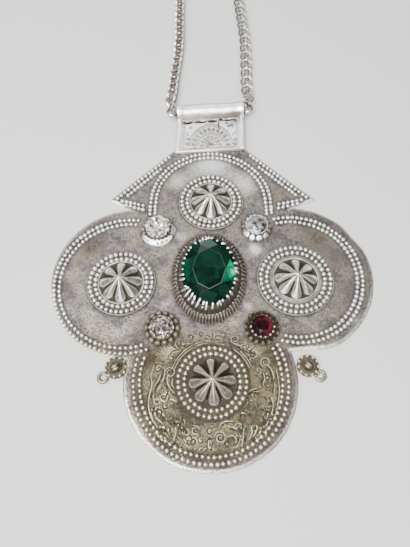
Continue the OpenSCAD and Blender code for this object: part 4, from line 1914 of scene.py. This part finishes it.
@dataclass
class Cup:
    """Rosette cup: a skirt of petals, a low bezel, claws and, on some, a bright torn side."""

    name: str
    centre: Point
    wide: float
    petals: int
    claws: tuple[float, ...]
    mouth: float = 2.86
    high: float = 1.75
    lip: tuple[tuple[float, float, float], ...] = ()
    seed: int = 1
    # strength of the painted shade and tarnish on the wall
    soot_and_shade: float = 0.6
    grain: float = 0.7
    wired: bool = False

    def ring(self, r: float, z: float, flute: float, lift: float = 0.0) -> list[Vector]:
        """Draws a ring with rounded petals.

        Args:
            r: its radius.
            z: its height.
            flute: the petals' depth.
            lift: how far it drops between the petals.

        Returns:
            The ring's corners.
        """
        count = self.petals * 8
        ring = []
        for i in range(count):
            a = math.tau * i / count
            fold = 1 - abs(math.cos(self.petals / 2 * a)) ** 0.7
            wobble = 0.08 * math.sin(3 * a + self.seed) + 0.06 * math.sin(7 * a + 2 * self.seed)
            out = r - flute * fold + wobble * min(1, flute * 4)
            ring.append(polar(self.centre, out, math.degrees(a), z - lift * fold))
        return ring

    def wall(self) -> Piece:
        """Makes the petalled wall with its bezel.

        Returns:
            The wall.
        """
        r, m, high = self.wide / 2, self.mouth, self.high
        rings = [
            (r - 0.35, 0, 0.45), (r, 0.22, 0.7), (r - 0.06, 0.5, 0.75, 0.1),
            (r - 0.45, 1.0, 0.6, 0.25), (r - 0.85, 1.3, 0.45, 0.4), (r - 1.15, 1.2, 0.3, 0.3),
            (m + 0.62, 0.85, 0.05), (m + 0.42, 1.0, 0.0), (m + 0.36, high - 0.25, 0.05),
            (m + 0.2, high, 0.04), (m + 0.02, high - 0.08, 0.0), (m + 0.02, 0.2, 0.0),
        ]
        loops = [self.ring(out, SEAT + z, *folds) for out, z, *folds in rings]
        wall = Bench.lofted(f"{self.name}_wall", loops)
        rim = SEAT + high - 0.3

        def dark(p: Vector) -> float:
            """Finds the painted shade and tarnish between the petals, in the channel above and on
            the bezel.

            Args:
                p: the vertex's place.

            Returns:
                The darkness, up to 1.
            """
            fold = (1 - abs(math.cos(self.petals / 2 * bearing(self.centre, p)))) ** 0.8
            out = (p.xy - Vector(self.centre)).length
            channel = bell(out - (m + 0.75), 0.5) * (p.z < rim) + 0.4 * (p.z > rim)
            soot_and_shade = self.soot_and_shade * (0.35 + 0.5 * fold + 0.7 * channel)
            return min(1.0, soot_and_shade + 0.3 * (p.z < SEAT + 0.2))

        Bench.paint(wall, "hollow", dark)
        return Bench.smooth(wall, 60)

    def torn_lip(self, start: float, end: float, reach: float, index: int) -> Piece:
        """Cuts a crescent of bright wall that stands proud on one side.

        Args:
            start: direction of its first end, in degrees.
            end: direction of its other end.
            reach: how far it stands out.
            index: its number.

        Returns:
            The lip.
        """
        steps = 36
        inner, outer = [], []
        for i in range(steps + 1):
            t = i / steps
            swell = math.sin(math.pi * t) ** 0.5
            a = start + (end - start) * t
            petal = abs(math.cos(self.petals / 2 * math.radians(a))) ** 0.7
            far = self.wide / 2 - 0.2 + (reach + 0.12 * petal) * swell
            near = self.wide / 2 - 0.3 - (0.75 + 0.3 * petal) * swell
            outer.append(polar(self.centre, far, a).xy[:])
            inner.append(polar(self.centre, near, a).xy[:])
        lip = Bench.slab(f"{self.name}_lip_{index}", outer + inner[::-1], SEAT, SEAT + 1.45, 0.1)
        mid = self.wide / 2 - 0.9

        def dish(p: Vector) -> Vector:
            """Lets the lip fall outwards."""
            out = math.hypot(p.x - self.centre[0], p.y - self.centre[1]) - mid
            return Vector((p.x, p.y, p.z - (0.75 * max(0.0, out) if p.z > SEAT + 0.4 else 0)))

        Bench.shape(lip, dish)
        Bench.paint(lip, "hollow", lambda p: 0.0)
        return Bench.smooth(lip, 50)

    def build(self, finish: Finish, beaded: Finish, bright: Finish) -> None:
        """Makes the wall, the claws, the lip and, on some, a bright wire round the stone.

        Args:
            finish: the wall's material.
            beaded: the claws' material.
            bright: the lip's material.
        """
        dress(self.wall(), finish, "setting_silver", self.name)
        top = SEAT + self.high
        spots = [polar(self.centre, self.mouth + 0.16, a, top - 0.15) for a in self.claws]
        claws = Grain(self.grain, self.grain).strew(f"{self.name}_claws", spots, self.seed, 0.08)
        dress(claws, beaded, "setting_silver", self.name)
        for i, (start, end, reach) in enumerate(self.lip):
            dress(self.torn_lip(start, end, reach, i), bright, "setting_silver", self.name)
        if self.wired:
            r, z = self.mouth + 0.14, top + 0.06
            wire = Bench.turned(f"{self.name}_ring", [
                (r - 0.12, z), (r - 0.08, z + 0.11), (r + 0.06, z + 0.11), (r + 0.12, z),
                (r + 0.06, z - 0.11), (r - 0.08, z - 0.11)], 64, loop=True)
            Bench.shape(wire, lambda p: p + Vector((*self.centre, 0)))
            Bench.paint(wire, "hollow", lambda p: 0.0)
            dress(Bench.smooth(wire, 60), bright, "setting_silver", self.name)


@dataclass
class Bail:
    """Engraved panel and rolled tube that the chain runs through."""

    centre: tuple[float, float, float] = (0.6, 57.1, 2.75)
    turn: float = 4.0
    long: float = 21.0
    outer: float = 2.6
    bore: float = 2.25
    fan: tuple[float, float, float, float] = (0.7, 43.9, 6.9, 8.6)

    def tube(self) -> Piece:
        """Rolls the tube with its end collars, slightly dented.

        Returns:
            The tube, in its place.
        """
        end, step = self.long / 2, self.long - 3.2
        outside = [(self.outer + 0.11, -end), (self.outer + 0.15, -end + 0.2),
                   (self.outer + 0.15, -end + 1.3)]
        outside += [(self.outer, -end + 1.6 + step * i / 18) for i in range(19)]
        outside += [(self.outer + 0.15, end - 1.3), (self.outer + 0.15, end - 0.2),
                    (self.outer + 0.11, end)]
        profile = [*outside, (self.bore, end), (self.bore, -end)]
        tube = Bench.turned("bail_tube", profile, 64, loop=True)

        def dent(p: Vector) -> Vector:
            """Turns the tube along X and presses soft dents into it.

            Args:
                p: the vertex's place.

            Returns:
                Its new place.
            """
            a = math.atan2(p.y, p.x)
            low = 0.07 * (math.sin(p.z * 0.55 + 2 * a) + math.sin(p.z * 1.3 - 3 * a + 1)) / 2
            r = 1 - (0.02 + low) / self.outer if math.hypot(p.x, p.y) > self.outer - 0.1 else 1
            return Vector((p.z, p.y * r, -p.x * r))

        Bench.shape(tube, dent)
        Bench.paint(tube, "hollow", self.tube_dark)
        place = Matrix.Translation(self.centre) @ Matrix.Rotation(math.radians(self.turn), 4, "Z")
        Bench.shape(tube, lambda p: place @ p)
        return Bench.smooth(tube, 40)

    def tube_dark(self, p: Vector) -> float:
        """Paints a brownish band of reflection and shade on the tube's near side, and shade in its
        bore and at its ends.

        Args:
            p: a point of the tube, which lies along X.

        Returns:
            Its share of painted shade.
        """
        if math.hypot(p.y, p.z) < self.outer - 0.1:
            return 0.85
        # painted reflection and shade: a brownish band on the near side, below the highlight
        side = math.degrees(math.atan2(p.z, -p.y))
        edge = 32 + 1.1 * p.x + 4 * math.sin(p.x * 1.1) + 3 * math.sin(p.x * 2.9)
        band = (0.5 + 0.2 * ramp(p.x, -6, 9)) * (1 - ramp(side, edge - 6, edge + 12))
        return band if abs(p.x) < 9.2 else 0.3 * bell(abs(p.x) - 9.25, 0.12)

    def panel(self) -> Piece:
        """Cuts the flat panel and its raised borders, soldered into one.

        Returns:
            The panel.
        """
        parts = [
            ("bail_panel", [(-10.2, 41.5), (11.3, 43), (11.2, 56.6), (-9.9, 55.6)], 2.05, 0.08),
            ("left", [(-10.25, 41.5), (-8.55, 41.62), (-8.25, 55.8), (-9.95, 55.7)], 2.42, 0.2),
            ("right", [(9.75, 42.9), (11.35, 43), (11.25, 56.7), (9.55, 56.5)], 2.42, 0.2),
            ("foot", [(-10.2, 41.4), (11.3, 42.9), (11.3, 43.65), (-10.2, 42.15)], 2.3, 0.16),
            ("in_left", [(-8.3, 42.3), (-7.95, 42.3), (-7.7, 55.6), (-8.05, 55.6)], 2.14, 0.05),
            ("in_right", [(9.15, 43.5), (9.5, 43.5), (9.3, 56.4), (8.95, 56.4)], 2.14, 0.05),
        ]
        strips = [Bench.slab(name, line, SEAT, top, edge) for name, line, top, edge in parts]
        panel = Bench.join(strips, "bail_panel")
        with Bench.editing(panel, Part.FACES):
            Bench.pick(panel, Part.FACES, lambda f: f.calc_area() > 80 * MM ** 2)
            bpy.ops.mesh.subdivide(number_cuts=28)
        Bench.paint(panel, "hollow", self.panel_dark)
        return Bench.smooth(panel, 45)

    def panel_dark(self, p: Vector) -> float:
        """Paints shade and tarnish on the panel in its corners, beside its borders, below the tube
        and round the rosette.

        Args:
            p: a point of the panel.

        Returns:
            Its share of painted shade and tarnish.
        """
        if p.z > 2.2 or p.z < 2:
            return 0.0
        beside = max(bell(p.x + 7.7, 0.5), bell(p.x - 8.9, 0.5), bell(p.y - 43.2 - 0.07 * p.x, 0.4))
        x, y, wide, tall = self.fan
        rosette = 1 - ramp(math.hypot((p.x - x) / wide, (p.y - y) / tall), 0.85, 1.1)
        return min(1.0, 0.42 * beside + 0.4 * bell(p.y - 54.2, 0.9) + 0.22 * bell(p.x + 7.0, 1.4)
                   + 0.2 * bell(p.x - 8.2, 1.2) + 0.26 * rosette)

    def fold(self) -> Piece:
        """Cuts the ragged edge of the rolled sheet, where it laps onto the panel.

        Returns:
            The edge.
        """
        chance = random.Random(8)
        top, foot = [], []
        for i in range(41):
            x = -8.9 + i * 0.47
            tilt = x * math.tan(math.radians(self.turn))
            notch = 1.1 * bell(x - 3.9, 0.55) - 0.5 * bell(x - 5.0, 0.4) + 0.5 * ramp(x, 4, 9)
            ragged = chance.uniform(-0.13, 0.13) + 0.2 * math.sin(x * 1.3)
            top.append((x, 55.6 + tilt))
            foot.append((x, 54.0 + tilt + ragged + notch))
        fold = Bench.slab("bail_fold", top + foot[::-1], 2.0, 2.34, 0.06)
        # painted shade along the fold's lower edge, where it laps onto the panel
        Bench.paint(fold, "hollow", lambda p: 0.3 + 0.2 * math.sin(p.x * 2.1) * math.sin(p.x * 0.7)
                    + 0.3 * bell(p.y - 54.0 - 0.07 * p.x, 0.35))
        return Bench.smooth(fold, 45)

    def seam_shadow(self) -> Scrollwork:
        """Draws the dark ragged line under the fold, a painted shadow along the seam, with its
        notch and the crack below it.

        Returns:
            The strokes.
        """
        line = Scrollwork(height=2.075, half=0.4)
        for points, weight in (
            ([(-8.4, 53.0), (-6.6, 53.1), (-5.0, 53.35)], 1.5),
            ([(-4.6, 53.3), (-2.5, 53.5), (-0.6, 53.55)], 1.1),
            ([(-0.2, 53.75), (1.4, 53.9), (3.0, 54.2)], 1.5),
            ([(3.3, 54.6), (3.9, 55.1), (4.5, 54.5)], 2.6),
            ([(4.4, 54.3), (6.0, 54.3), (8.6, 54.6)], 0.9),
            ([(3.3, 53.6), (3.2, 52.2), (3.45, 50.8)], 0.6),
        ):
            line.through(points, weight)
        return line

    def engraving(self) -> Scrollwork:
        """Draws the half rosette: arcs with rows of small scrolls between them.

        Returns:
            The strokes.
        """
        art = Scrollwork(height=2.065, half=0.21)
        x, y, wide, tall = self.fan

        def at(a: float, share: float) -> Point:
            """Returns the fan's point in a direction, at a share of its size."""
            c, s = math.cos(math.radians(a)), math.sin(math.radians(a))
            return (x + wide * share * c, y + tall * share * s + 0.05 * wide * share * c)

        for share, weight in ((1.0, 1.1), (0.92, 0.8), (0.62, 0.9), (0.55, 0.7), (0.30, 1.0)):
            art.through([at(3 + 174 * i / 10, share) for i in range(11)], weight)
        hands = (Hand.RIGHT, Hand.LEFT)
        for i in range(12):
            a = 6 + 15.3 * i
            art.volute(*at(a, 0.77), 0.78, a + 90, hands[i % 2], 1.3)
        for i in range(8):
            a = 8 + 23.4 * i
            art.volute(*at(a, 0.42), 0.6, a - 90, hands[1 - i % 2], 1.2)
        for i in range(13):
            art.leaf(at(-1 + 15.2 * i, 0.64), at(1 + 15.2 * i, 0.9), 0.2, 0.9)
        for i in range(6):
            art.leaf(at(12 + 31 * i, 0.05), at(12 + 31 * i, 0.27), 0.2, 1.1)
        art.volute(x + 6.6, 52.6, 0.75, 90, Hand.RIGHT, 1.4)
        art.volute(x + 5.2, 53.0, 0.55, 270, Hand.RIGHT)
        art.leaf((x + 5.0, 51.6), (x + 7.2, 51.4), 0.3, 2.2)
        art.volute(x - 6.2, 51.4, 0.6, 90, Hand.LEFT, 1.2)
        for side, hand in ((-7.2, Hand.RIGHT), (7.6, Hand.LEFT)):
            art.volute(x + side, y + 1.0, 0.7, 0, hand, 1.3)
            art.volute(x + side, y + 2.8, 0.6, 180, hand, 1.2)
            art.leaf((x + side * 0.9, y + 3.9), (x + side * 1.04, y + 5.6), 0.2, 0.9)
        return art

    def build(self, finish: Finish, line: Finish, dark: Finish) -> None:
        """Makes the tube, the panel, the fold and the engraving.

        Args:
            finish: the bail's silver.
            line: the colour in its engraved lines.
            dark: the colour of the painted shadow along its seam.
        """
        for piece in (self.panel(), self.tube(), self.fold()):
            dress(piece, finish, "bail_silver", "bail")
        self.engraving().build("bail_engraving", line, "bail_silver", "bail")
        # a painted shadow under the fold, along the seam
        self.seam_shadow().build("bail_seam_shadow", dark, "bail_silver", "bail")


@dataclass
class Drop:
    """Ribbed bead on a disc ringed with grains, ended by a ball and a curled wire."""

    name: str
    centre: Point
    curl: Point
    ball: Point
    ridge: float
    grains: tuple[float, ...]
    seed: int

    def build(self, finish: Finish, beaded: Finish, bright: Finish) -> None:
        """Makes the disc, the bead, the grains and the wire.

        Args:
            finish: the bead's silver.
            beaded: the material of the grains.
            bright: the wire's silver.
        """
        Bench.clear()
        x, y = self.centre
        disc = Bench.turned(f"{self.name}_disc", [
            (0, 0.55), (2.6, 0.55), (2.75, 0.7), (2.78, 1.3), (2.6, 1.5), (2.2, 1.55),
            (0, 1.55)], 40)
        Bench.shape(disc, lambda p: p + Vector((x, y, 0)))
        Bench.paint(disc, "hollow", lambda p: 0.62)
        bpy.ops.mesh.primitive_uv_sphere_add(segments=40, ring_count=20, radius=MM)
        body = bpy.context.object
        turn = Matrix.Rotation(math.radians(self.ridge), 3, "Z")

        def rib(p: Vector) -> Vector:
            """Stretches the ball and draws a crease along it and ribs round its foot.

            Args:
                p: the vertex's place.

            Returns:
                Its new place.
            """
            a = math.atan2(p.y, p.x)
            pull = 1 - 0.09 * (1 - abs(math.cos(4 * a))) * (1 - ramp(p.z, 0.3, 0.95))
            q = Vector((1.9 * p.x * pull, 1.45 * p.y * pull, 1.72 * p.z if p.z > 0 else 0.3 * p.z))
            q.z -= 0.22 * bell(q.y + 0.5, 0.3) * ramp(p.z, 0.3, 0.8)
            return turn @ q + Vector((x, y, SEAT + 0.32))

        Bench.shape(body, rib)
        # painted shade on the bead's lower part, lighter towards its top
        Bench.paint(body, "hollow", lambda p: 0.22 + 0.3 * (1 - ramp(p.z, 1.5, 2.8)))
        whole = Bench.join([body, disc], f"{self.name}_body")
        dress(Bench.smooth(whole, 55), finish, "boss_silver", self.name)
        dress(Bench.smooth(self.wire(), 55), bright, "boss_silver", self.name)
        turns = [math.radians(a) for a in self.grains]
        spots = [Vector((x + 2.5 * math.cos(a), y + 2.35 * math.sin(a), SEAT + 0.2)) for a in turns]
        spots.append(Vector((*self.ball, 0.55)))
        beads = Grain(0.86, 0.72).strew(f"{self.name}_grains", spots, self.seed, 0.06)
        dress(beads, beaded, "boss_silver", self.name)

    def wire(self) -> Piece:
        """Bends the wire that leaves the disc and curls round a small ball.

        Returns:
            The wire, with the ball's foot and its own.
        """
        lead = math.degrees(bearing(self.curl, Vector(self.centre)))
        hand = 1 if self.centre[0] < 0 else -1
        steps = 24
        stroke = []
        for i in range(steps + 1):
            t = i / steps
            out = 1.08 + 0.15 * bell(t - 0.5, 0.4)
            at = polar(self.curl, out, lead + hand * (-42 - 292 * t), 0.47)
            stroke.append((at * MM, 0.8 + 0.35 * math.sin(math.pi * t)))
        wire = Bench.wires(f"{self.name}_wire", [stroke], 0.42, 3)
        root = Vector(self.curl).lerp(Vector(self.centre), 0.36)[:]
        foot = self.pad("foot", self.ball, 0.5, 0.05, 0.6, 0.08)
        neck = self.pad("neck", root, 0.75, 0.3, 1.2, 0.15)
        for piece, shade in ((wire, 0.05), (foot, 0.3), (neck, 0.35)):
            Bench.paint(piece, "hollow", lambda p, s=shade: s)
        return Bench.join([wire, foot, neck], f"{self.name}_wire")

    def pad(self, name: str, at: Point, r: float, low: float, high: float, edge: float) -> Piece:
        """Returns a round pad with a soft edge, between two heights."""
        return Bench.slab(name, [polar(at, r, 30 * i).xy[:] for i in range(12)], low, high, edge)


@dataclass
class Chain:
    """Round wire links, set where the CAD links lie, and the ring that closes the loop."""

    links: int = 222
    radius: float = 1.725
    wire: float = 0.375
    ring: float = 3.1
    ring_wire: float = 0.5

    @staticmethod
    def lie(node: str, count: int) -> list[Matrix]:
        """Finds centre and tilt of each loose ring of a CAD node.

        Args:
            node: the node's name.
            count: how many rings it should have.

        Returns:
            One matrix a ring, in millimetres.
        """
        with Bench.editing(Bench.copy(frame["nodes"][node])):
            bpy.ops.mesh.remove_doubles(threshold=0.0005 * MM)
            bpy.ops.mesh.separate(type="LOOSE")
        places = []
        for ring in [o for o in bpy.context.selected_objects if o.type == "MESH"]:
            dots = [v.co / MM for v in ring.data.vertices]
            middle = sum(dots, Vector()) / len(dots)
            far = max(dots, key=lambda p: (p - middle).length) - middle
            side = max(dots, key=lambda p: (p - middle).cross(far).length) - middle
            up = far.cross(side).normalized()
            along = (far - up * far.dot(up)).normalized()
            turn = Matrix((along, up.cross(along), up)).transposed().to_4x4()
            places.append(Matrix.Translation(middle) @ turn)
            bpy.data.objects.remove(ring)
        log.info("%s: %d rings found, %d expected", node, len(places), count)
        return places

    def link(self) -> Piece:
        """Bends one link: a ring of round wire, worn flat inside where links pull.

        Returns:
            The link, at the origin.
        """
        Bench.clear()
        bpy.ops.mesh.primitive_torus_add(
            major_segments=14, minor_segments=5, major_radius=self.radius * MM,
            minor_radius=self.wire * MM,
        )

        def wear(p: Vector) -> Vector:
            """Thins the wire a little where it rubs.

            Args:
                p: the vertex's place.

            Returns:
                Its new place.
            """
            rub = bell(abs(p.x) - self.radius, 0.9) * bell(p.y, 0.9)
            shrink = 1 - 0.1 * rub
            near = Vector((p.x, p.y, 0)) * (self.radius / math.hypot(p.x, p.y))
            return near + (p - near) * shrink * 1.02

        return Bench.smooth(Bench.shape(bpy.context.object, wear), 70)

    def build(self, finish: Finish) -> None:
        """Makes the links and the closing ring.

        Args:
            finish: the chain's silver.
        """
        links = Bench.repeat(self.link(), self.lie("chain", self.links), "chain_links")
        Bench.clear()
        bpy.ops.mesh.primitive_torus_add(
            major_segments=40, minor_segments=12, major_radius=self.ring * MM,
            minor_radius=self.ring_wire * MM,
        )
        ring = bpy.context.object
        place = self.lie("clasp", 1)[0]
        Bench.shape(ring, lambda p: place @ (p * (1 - 0.012 * bell(p.y + self.ring, 0.5))))
        ring.name = ring.data.name = "closing_ring"
        Bench.smooth(ring, 60)
        for piece, node in ((links, "chain"), (ring, "clasp")):
            Bench.paint(piece, "hollow", lambda p: 0.0)
            dress(piece, finish, "chain_silver", node)


@dataclass
class Studio:
    """Camera, soft lights and a pale table."""

    eye: tuple[float, float, float] = (-1.1, -50.2, 116.4)
    tilt: float = 24.0
    film: float = 36.0
    lens: float = 36 * 460 / 547
    air: Colour = (0.62, 0.63, 0.65)
    air_strength: float = 0.34

    def camera(self) -> None:
        """Sets the camera at the photograph's viewing angle."""
        data = bpy.data.cameras.new("camera")
        data.sensor_fit = "VERTICAL"
        data.sensor_height = self.film
        data.lens = self.lens
        data.clip_start = 0.005
        camera = bpy.data.objects.new("camera", data)
        camera.location = Vector(self.eye) * MM
        camera.rotation_euler = (math.radians(self.tilt), 0, 0)
        bpy.context.scene.collection.objects.link(camera)
        bpy.context.scene.camera = camera

    def light(self, name: str, at: tuple[float, float, float], size: float, power: float,
              colour: Colour = (1, 1, 1)) -> None:
        """Hangs a soft square light that faces the pendant.

        Args:
            name: the light's name.
            at: its place, in metres.
            size: its side, in metres.
            power: its power in watts.
            colour: its colour.
        """
        data = bpy.data.lights.new(name, "AREA")
        data.size, data.energy, data.color = size, power, colour
        lamp = bpy.data.objects.new(name, data)
        lamp.location = at
        lamp.rotation_euler = (-Vector(at)).to_track_quat("-Z", "Y").to_euler()
        bpy.context.scene.collection.objects.link(lamp)

    def build(self) -> None:
        """Makes the table, the lights and the room."""
        self.camera()
        Bench.clear()
        bpy.ops.mesh.primitive_plane_add(size=4)
        table = bpy.context.object
        table.name = table.data.name = "table_top"
        table.data.materials.append(PaleBoard().mix())
        self.light("overhead", (-0.08, -0.22, 0.55), 0.90, 8.4, (1, 0.99, 0.97))
        self.light("lamp", (-0.13, -0.17, 0.50), 0.24, 6.0, (1, 0.99, 0.97))
        self.light("window", (-0.45, 0.35, 0.45), 0.35, 1.2, (0.95, 0.97, 1))
        self.light("far_wall", (0.0, 0.62, 0.50), 0.5, 2.4)
        world = bpy.data.worlds.new("room")
        world.use_nodes = True
        room = next(n for n in world.node_tree.nodes if n.type == "BACKGROUND")
        room.inputs["Color"].default_value = (*self.air, 1)
        room.inputs["Strength"].default_value = self.air_strength
        bpy.context.scene.world = world


def set_stones(fluted: Finish, olive: Finish, beaded: Finish, bright: Finish) -> None:
    """Builds the small cups, and sets the green stone and the small stones.

    Args:
        fluted: the upper cups' silver.
        olive: the lower cups' silver.
        beaded: the claws' silver.
        bright: the torn lips' silver.
    """
    green = Gem("green_stone", (0, 0), 5.0, (7.5, 10), 2.1, 3.0, table=0.58)
    # painted flashes on the crown, a painted grey reflection at the top and a pale table edge
    stone = green.mark(green.cut(), [(-4, 11, 0.45), (-24, 10, 0.2), (168, 12, 0.16)],
                       [(97, 9, 0.35)], 0.2)
    # painted glow, strongest at a bright core on the stone's right
    glass = CutGlass("green_glass", (0.0015, 0.006, 0.0045), (0.004, 0.021, 0.012),
                     (0.01, 0.46, 0.20), 0.85, shine=0.008, core=(6.6, -0.6, 6.4, 1.7))
    dress(stone, glass.mix(), "green_glass", "green_stone")

    low = tuple(range(186, 356, 24))
    torn = ((203, 334, 0.3), (340, 372, 0.2))
    ragged = ((210, 234, 0.05), (239, 260, 0.15), (268, 288, 0.1), (297, 318, 0.0))
    cups = [
        (Cup("setting_upper_left", UPPER_LEFT, 10, 20, tuple(range(10, 370, 26)), lip=torn,
             seed=31, soot_and_shade=0.6), fluted),
        (Cup("setting_upper_right", UPPER_RIGHT, 9.1, 16, tuple(range(100, 290, 24)),
             lip=ragged, seed=32, soot_and_shade=0.5, wired=True), fluted),
        (Cup("setting_lower_left", LOWER_LEFT, 9.8, 14, low, seed=33, soot_and_shade=0.6), olive),
        (Cup("setting_lower_right", LOWER_RIGHT, 9.6, 16, low, seed=34, soot_and_shade=0.95), olive),
    ]
    for cup, finish in cups:
        cup.build(finish, beaded, bright)
    foil = Foil("clear_foil", (0.80, 0.77, 0.74), (0.15, 0.135, 0.13)).mix()
    dim = Foil("dim_foil", (0.46, 0.42, 0.40), (0.04, 0.036, 0.032), 0.8).mix()
    CrumpledStone("stone_upper_left", (-14.5, 14.9), 3.0, 3.5, 0.8, 41).build(foil)
    CrumpledStone("stone_lower_left", (-12.2, -14.8), 2.8, 3.0, 0.7, 43).build(dim)
    clear = Gem("stone_upper_right", UPPER_RIGHT, 2.9, (2.8, 2.8), 0.9, 1.2)
    grey = Foil("grey_foil", (0.36, 0.37, 0.37), (0.035, 0.037, 0.04), 0.9).mix()
    dress(clear.mark(clear.cut(), []), grey, "clear_glass", "stone_upper_right")
    red = Gem("garnet", LOWER_RIGHT, 3.0, (2.8, 2.8), 0.9, 1.2)
    # a faint painted red glow
    garnet = CutGlass("garnet_glass", (0.004, 0.0015, 0.002), (0.022, 0.005, 0.008),
                      (0.20, 0.022, 0.04), 0.14, 1.2, 0.05)
    dress(red.mark(red.cut(), [(45, 30, 0.5), (-5, 22, 0.7), (-50, 22, 0.5)]), garnet.mix(),
          "garnet_glass", "garnet")


def main() -> None:
    """Builds every sub-assembly and the studio."""
    logging.basicConfig(level=logging.INFO, format="%(name)s: %(message)s")
    beaded = WorkedSilver("bead_silver", bright=(0.97, 0.96, 0.95), roughness=0.20, tarnish=0.15,
                          mottle=5).mix()
    flat = WorkedSilver("disc_silver", dull=(0.28, 0.26, 0.235), soot_and_shade=(0.042, 0.035, 0.027),
                        roughness=0.38, tarnish=0.8).mix()
    domed = WorkedSilver("dome_silver", bright=(0.98, 0.97, 0.94), dull=(0.17, 0.158, 0.118),
                         soot_and_shade=(0.03, 0.024, 0.015), roughness=0.17, tarnish=0.2, mottle=2.4).mix()
    bright = WorkedSilver("bright_silver", bright=(0.96, 0.96, 0.95), roughness=0.34,
                          tarnish=0.15).mix()
    fluted = WorkedSilver("fluted_silver", bright=(0.46, 0.42, 0.37), dull=(0.20, 0.165, 0.135),
                          soot_and_shade=(0.05, 0.042, 0.035), roughness=0.34, tarnish=0.8, mottle=3).mix()
    olive = WorkedSilver("olive_silver", bright=(0.46, 0.43, 0.31), dull=(0.20, 0.18, 0.12),
                         soot_and_shade=(0.03, 0.024, 0.016), roughness=0.34, tarnish=0.8, mottle=2).mix()

    spots = Beading().build(beaded)
    Sheet().build(SheetSilver().mix(), spots)
    art = Scrollwork()
    art.draw_lobe()
    art.draw_field()
    # pale metal for the painted highlights beside the engraved lines
    painted_glint = WorkedSilver("glint_silver", bright=(0.44, 0.42, 0.31), dull=(0.22, 0.20, 0.14),
                        roughness=0.4, tarnish=0.8).mix()
    olive_line = DarkLine("olive_line", paler=(0.075, 0.068, 0.042)).mix()
    art.glints().build("engraved_glints", painted_glint, "plate_silver", "plate")
    art.build("engraved_scrolls", olive_line, "plate_silver", "plate")

    for boss in (
        Boss("boss_top", TOP, 0, seed=21), Boss("boss_left", LEFT, 3, seed=22),
        Boss("boss_right", RIGHT, -3, 20.8, (9.5, 42), (7.9, 35), seed=23),
        Boss("boss_bottom", BOTTOM, 5, seed=24),
    ):
        boss.build(flat, domed, beaded)
    CentreSetting().build(fluted, beaded)
    set_stones(fluted, olive, beaded, bright)

    Bail().build(
        WorkedSilver("bail_silver", bright=(0.96, 0.95, 0.94), dull=(0.50, 0.42, 0.36),
                     soot_and_shade=(0.10, 0.07, 0.05), roughness=0.34, tarnish=0.3).mix(),
        DarkLine("grey_line", (0.08, 0.076, 0.072), (0.22, 0.21, 0.205)).mix(),
        DarkLine("seam_shadow_line").mix())
    brown = WorkedSilver("drop_silver", bright=(0.22, 0.185, 0.14), dull=(0.085, 0.066, 0.048),
                         soot_and_shade=(0.04, 0.03, 0.022), roughness=0.24, tarnish=0.8, mottle=3).mix()
    wire = WorkedSilver("wire_silver", bright=(0.36, 0.33, 0.25), dull=(0.14, 0.12, 0.09),
                        roughness=0.26, tarnish=0.7).mix()
    Drop("drop_left", (-23.5, -24.8), (-26.6, -27.1), (-26.1, -26.5), 28,
         tuple(4 + 32.7 * i for i in range(11)), 51).build(brown, beaded, wire)
    Drop("drop_right", (24.8, -24.3), (27.8, -26.6), (27.4, -26.1), -32,
         tuple(-8 + 32.7 * i for i in range(11)), 52).build(brown, beaded, wire)
    Chain().build(WorkedSilver("chain_silver", bright=(0.74, 0.71, 0.68), dull=(0.24, 0.21, 0.19),
                               roughness=0.24, tarnish=0.9, mottle=1.4).mix())

    Studio().build()


if __name__ == "__main__":
    main()
